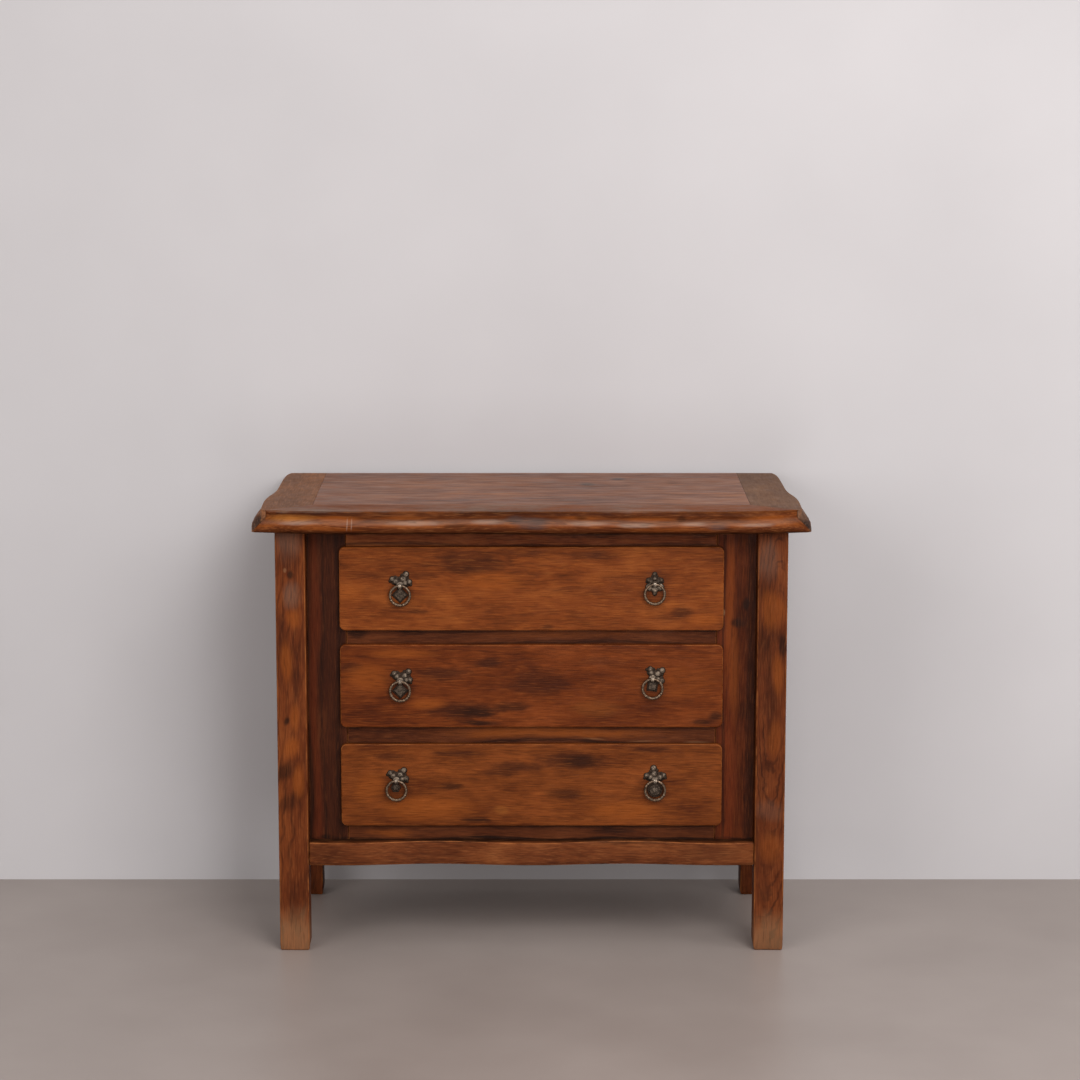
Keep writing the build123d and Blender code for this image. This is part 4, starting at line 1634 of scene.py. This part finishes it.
@dataclass(frozen=True)
class Lamp:
    """A soft square lamp: where it hangs, what it points at, its side in metres and its power in watts."""

    name: str
    at: Triple
    aim: Triple
    size: float
    power: float

    def build(self) -> None:
        """Hangs the lamp out of the camera's sight."""
        data = bpy.data.lights.new(self.name, "AREA")
        data.shape = "SQUARE"
        data.size = self.size
        data.energy = self.power
        seat = bpy.data.objects.new(self.name, data)
        seat.location = self.at
        seat.visible_camera = False
        seat.rotation_euler = (Vector(self.aim) - Vector(self.at)).to_track_quat("-Z", "Y").to_euler()
        bpy.context.scene.collection.objects.link(seat)


@dataclass
class Studio:
    """The camera, the soft lights, the pale floor and the wall behind."""

    lens_mm: float = 101.193
    sensor_mm: float = 36.0
    camera_at: Triple = (0.0, -5607.2, 1706.1)
    pitch: float = 80.189
    shift_x: float = 0.00787
    sight_m: float = 60.0
    wall_y: float = 270.0
    wall_half_mm: float = 3000.0
    reach_mm: float = 9000.0
    sky: str = "#fbf8f6"
    sky_strength: float = 0.36
    sky_seen: str = "#cfcaca"
    floor: Paint = Paint("pale_poured_floor", "#9a8e88", "#8d817b", 420.0, 0.38)
    wall: Paint = Paint("pale_plaster_wall", "#bdb9ba", "#b6b2b3", 600.0, 0.9, True)
    lamps: tuple[Lamp, ...] = (
        Lamp("key", (1.5, -3.6, 3.0), (0.0, -0.1, 0.45), 2.2, 138.0),
        Lamp("fill", (-2.6, -3.4, 1.9), (0.0, -0.1, 0.45), 2.4, 64.0),
        Lamp("overhead", (0.3, -1.1, 3.4), (0.0, -0.2, 0.8), 2.4, 20.0),
        Lamp("floor_bounce", (0.3, -2.6, 0.32), (0.0, 0.2, 0.1), 0.6, 9.0),
        Lamp("wall_wash", (2.6, -1.3, 1.7), (2.5, 0.27, 1.0), 1.4, 18.0),
    )

    def camera(self) -> None:
        """Makes the camera that stands where the photographer's did."""
        data = bpy.data.cameras.new("camera")
        data.lens = self.lens_mm
        data.sensor_width = self.sensor_mm
        data.shift_x = self.shift_x
        data.clip_end = self.sight_m
        seat = bpy.data.objects.new("camera", data)
        seat.location = Vector(self.camera_at) * MM
        seat.rotation_euler = (math.radians(self.pitch), 0, 0)
        bpy.context.scene.collection.objects.link(seat)
        bpy.context.scene.camera = seat

    def surroundings(self) -> None:
        """Makes the even light from all round, and the pale background that mirrors and cameras see."""
        world = bpy.data.worlds.new("studio")
        bpy.context.scene.world = world
        world.use_nodes = True
        tree = world.node_tree
        tree.nodes.clear()
        light = add(tree, "Background", {"Color": linear(self.sky), "Strength": self.sky_strength}).outputs[0]
        seen = add(tree, "Background", {"Color": linear(self.sky_seen), "Strength": 1.0}).outputs[0]
        rays = add(tree, "LightPath").outputs
        shown: Any = rays["Is Camera Ray"]
        for kind in ("Is Glossy Ray", "Is Transmission Ray"):
            shown = add(tree, "Math", {0: shown, 1: rays[kind]}, operation="MAXIMUM").outputs[0]
        mixed = add(tree, "MixShader", {0: shown, 1: light, 2: seen}).outputs[0]
        add(tree, "OutputWorld", {"Surface": mixed})

    def sheet(self, name: str, size: Triple, turn: float, at: Triple, paint: Paint) -> bpy.types.Object:
        """Makes a flat stage surface.

        Args:
            name: Its name.
            size: Half its width and height in metres, and 1 because a sheet has no thickness.
            turn: Degrees about X.
            at: The place of its middle.
            paint: Its finish.

        Returns:
            The new object.
        """
        bm = bmesh.new()
        bmesh.ops.create_grid(bm, x_segments=2, y_segments=2, size=1.0)
        bmesh.ops.scale(bm, vec=size, verts=bm.verts)
        tilted = Matrix.Rotation(math.radians(turn), 3, "X")
        bmesh.ops.rotate(bm, cent=(0, 0, 0), matrix=tilted, verts=bm.verts)
        bmesh.ops.translate(bm, vec=at, verts=bm.verts)
        mesh = bpy.data.meshes.new(name)
        bm.to_mesh(mesh)
        bm.free()
        mesh.materials.append(paint.material())
        made = bpy.data.objects.new(name, mesh)
        bpy.context.scene.collection.objects.link(made)
        return made

    def build(self) -> None:
        """Sets up the camera, the light and the stage."""
        bpy.context.scene.view_settings.view_transform = "Standard"
        self.camera()
        self.surroundings()
        for lamp in self.lamps:
            lamp.build()
        half = self.reach_mm * MM
        tall = self.wall_half_mm * MM
        self.sheet("floor", (half, half, 1), 0, (0, 0, 0), self.floor)
        back = self.sheet("backdrop", (half, tall, 1), 90, (0, self.wall_y * MM, tall), self.wall)
        back.visible_diffuse = False
        back.visible_shadow = False


def dress(node: str, finish: bpy.types.Material) -> None:
    """Gives a CAD node that stays in view its material.

    Args:
        node: The CAD node's name.
        finish: The material.
    """
    piece = bpy.data.objects[node]
    piece.data.materials.clear()
    piece.data.materials.append(finish)
    LOG.info("%s: dressed as %s", node, finish.name)


@dataclass(frozen=True)
class PostLook:
    """How the wood of the posts on one side looks."""

    stain: Shades
    spots: tuple[Spot, ...]
    pith: Pair
    tilt: Pair
    ring_mm: float
    rings: float


POST_LOOKS = {
    "left": PostLook(POST_STAIN, LEFT_POST_SPOTS, (-438.0, -150.0), (5.0, 7.0), 11.0, 0.45),
    "right": PostLook(RIGHT_POST_SHADED_STAIN, RIGHT_POST_SPOTS, (428.0, -140.0), (6.0, 2.0), 6.0, 0.6),
}


def posts() -> list[WornBoard]:
    """Lists the four posts.

    Returns:
        The posts with their woods.
    """
    made = []
    for i, (side, look) in enumerate(POST_LOOKS.items()):
        for j, row in enumerate(("front", "rear")):
            wood = Wood(
                f"waxed_{row}_{side}_post_wood",
                Grain.UPRIGHT,
                look.stain,
                1.3 + i + 2.1 * j,
                pith=look.pith,
                tilt=look.tilt,
                ring_mm=look.ring_mm,
                rings=look.rings,
                rough=0.5,
                spots=look.spots if row == "front" else (),
            )
            made.append(WornBoard(f"{row}_{side}_post", wood, round_mm=3.0, foot_mm=4.0, chip_mm=1.2))
    return made


def front_frame() -> list[WornBoard]:
    """Lists the stiles and rails of the frame round the drawers.

    Returns:
        The boards with their woods and the tenons that are left off.
    """
    made = []
    tongue = (10.0, 0.0, 0.0)
    flush = (0.0, 0.0, 0.0)
    stiles = {
        "left": (LEFT_FRAME_STAIN, 6.2, LEFT_STILE_SPOTS, tongue, flush),
        "right": (RIGHT_FRAME_STAIN, 7.7, RIGHT_STILE_SPOTS, flush, tongue),
    }
    for side, (stain, seed, spots, low, high) in stiles.items():
        wood = Wood(
            f"waxed_{side}_stile_wood",
            Grain.UPRIGHT,
            stain,
            seed,
            pith=(0.0, -110.0),
            rings=0.3,
            streaks=0.17,
            spots=spots,
        )
        made.append(WornBoard(f"{side}_front_stile", wood, low, high, round_mm=1.2))
    tenon = (25.0, 0.0, 0.0)
    for i, (rail, spots) in enumerate(RAIL_SPOTS.items()):
        # The top rail has the paler stain that paints light into the shade under the top
        stain = TOP_RAIL_LIGHTENED_STAIN if i == 0 else RAIL_STAIN
        pith = (-110.0, 300.0 + 90 * i)
        wood = Wood(f"waxed_{rail}_wood", Grain.ACROSS, stain, 8.4 + i, pith, spots=spots)
        made.append(WornBoard(rail, wood, tenon, tenon, round_mm=1.6, chip_mm=1.2))
    return made


def sides_and_back() -> list[WornBoard]:
    """Lists the rails and panels of the sides and the back.

    Returns:
        The boards with their woods and the tenons that are left off.
    """
    made = []
    side_wood = Wood("waxed_side_rail_wood", Grain.DEEP, POST_STAIN, 14.2)
    panel_wood = Wood("waxed_side_panel_wood", Grain.UPRIGHT, POST_STAIN, 15.6, pith=(-380.0, 0.0))
    side_tenon = (0.0, 20.0, 0.0)
    for side in ("left", "right"):
        for level in ("upper", "lower"):
            rail = f"{side}_{level}_side_rail"
            made.append(WornBoard(rail, side_wood, side_tenon, side_tenon, round_mm=1.6, step_mm=12.0))
        made.append(WornBoard(f"{side}_side_panel", panel_wood, round_mm=1.0, step_mm=14.0))
    rear_wood = Wood("waxed_rear_rail_wood", Grain.ACROSS, POST_STAIN, 17.1)
    back_wood = Wood("waxed_back_panel_wood", Grain.ACROSS, POST_STAIN, 18.4, rough=0.6)
    rear_tenon = (20.0, 0.0, 0.0)
    for rail in ("rear_top_rail", "rear_bottom_rail"):
        made.append(WornBoard(rail, rear_wood, rear_tenon, rear_tenon, round_mm=1.6, step_mm=14.0))
    tongue = (8.0, 0.0, 0.0)
    made.append(WornBoard("back_panel", back_wood, tongue, tongue, round_mm=1.0, step_mm=16.0))
    return made


def top_woods() -> dict[str, Wood]:
    """Lists the woods of the boards of the top.

    Returns:
        The woods by the names of their boards.
    """
    woods = {
        "top_front_board": Wood(
            "waxed_top_moulding_wood",
            Grain.ACROSS,
            NOSE_STAIN,
            20.3,
            pith=(-200.0, 790.0),
            curl=6.0,
            ragged_mm=9.0,
            gloss=0.03,
            rubbed="#7a4a2a",
            rubbed_share=0.5,
            spots=NOSE_SPOTS,
        ),
    }
    ends = {"top_left_end_board": END_STAIN, "top_right_end_board": RIGHT_END_STAIN}
    for i, (name, stain) in enumerate(ends.items()):
        woods[name] = Wood(
            f"waxed_{name}_wood",
            Grain.DEEP,
            stain,
            21.5 + i,
            breadth=1.6,
            rough=0.55,
            gloss=0.05,
            rubbed="#84583a",
            rubbed_share=0.45,
            spots=END_SPOTS,
        )
    for i, name in enumerate(PLANKS):
        woods[name] = Wood(
            f"waxed_{name}_wood",
            Grain.ACROSS,
            TOP_STAIN,
            24.1 + i,
            streaks=0.4,
            mottle=0.1,
            ragged_mm=10.0,
            length=2.0,
            breadth=1.7,
            pores=0.5,
            rough=0.42,
            gloss=0.25,
            spots=PLANK_SPOTS,
        )
    return woods


def darkened_round_pulls(drawer: str) -> tuple[Spot, ...]:
    """Lists a soft dark mark round each of the two pulls of a drawer.

    Args:
        drawer: The drawer's name.

    Returns:
        A mark round each pull.
    """
    reach = (34.0, MARK_DEEP, 40.0)
    lift = 8
    made = []
    for side in ("left", "right"):
        low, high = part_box(f"{drawer}_{side}_pull_ring")
        middle = (low + high) / 2 / MM
        made.append(Spot(UMBER, (middle.x, DRAWER_Y, middle.z + lift), reach, 0.35))
    return tuple(made)


def main() -> None:
    """Builds the chest's looks piece by piece, then the studio round it."""
    logging.basicConfig(level=logging.INFO, format="%(message)s")
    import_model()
    # The plates and pins have paler brights than the rings, and the pins a paler body too: painted highlight
    # for their glints
    plate_brass = Brass("aged_cast_brass_plates", hollow_y=-186.4, high_y=-188.6, bright="#867767")
    ring_brass = Brass("aged_cast_brass_rings", hollow_y=-191.0, high_y=-195.0)
    pin_brass = Brass("rubbed_brass_pins_with_painted_glint", hollow_y=-190.0, high_y=-194.5, body="#504237", bright="#9f907f")
    plate_metal, ring_metal, pin_metal = (m.material() for m in (plate_brass, ring_brass, pin_brass))
    steel = Steel().material()
    bare = Wood("planed_bare_wood", Grain.DEEP, PALE_WOOD, 30.2, rough=0.62).material()
    Studio().build()
    for board in (*posts(), *front_frame(), *sides_and_back()):
        board.build()
    apron_wood = Wood("waxed_apron_wood", Grain.ACROSS, APRON_STAIN, 12.5, (-160.0, 120.0), spots=APRON_SPOTS)
    Apron(apron_wood).build()
    MouldedTop(top_woods()).build()
    fronts = {
        "upper": (UPPER_STAIN, UPPER_SPOTS),
        "middle": (MIDDLE_STAIN, MIDDLE_SPOTS),
        "lower": (LOWER_STAIN, LOWER_SPOTS),
    }
    for i, (name, (stain, spots)) in enumerate(fronts.items()):
        low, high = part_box(f"{name}_drawer_front")
        wood = Wood(
            f"waxed_{name}_drawer_wood",
            Grain.ACROSS,
            stain,
            40.7 + 1.9 * i,
            pith=(-120.0, (low.z + high.z) / 2 / MM - 30),
            tilt=(3.0, 1.0),
            spots=spots + darkened_round_pulls(name),
        )
        Drawer(name, wood, bare).build()
        dress(f"{name}_drawer_runners", bare)
        PullPlates(name, plate_metal).build()
        dress(f"{name}_drawer_pull_pins", pin_metal)
        for side in ("left", "right"):
            RingPull(f"{name}_{side}", ring_metal).build()
    dress("upper_drawer_kickers", bare)
    for fasteners in ("top_screws", "apron_screws", "back_nails"):
        dress(fasteners, steel)


if __name__ == "__main__":
    main()
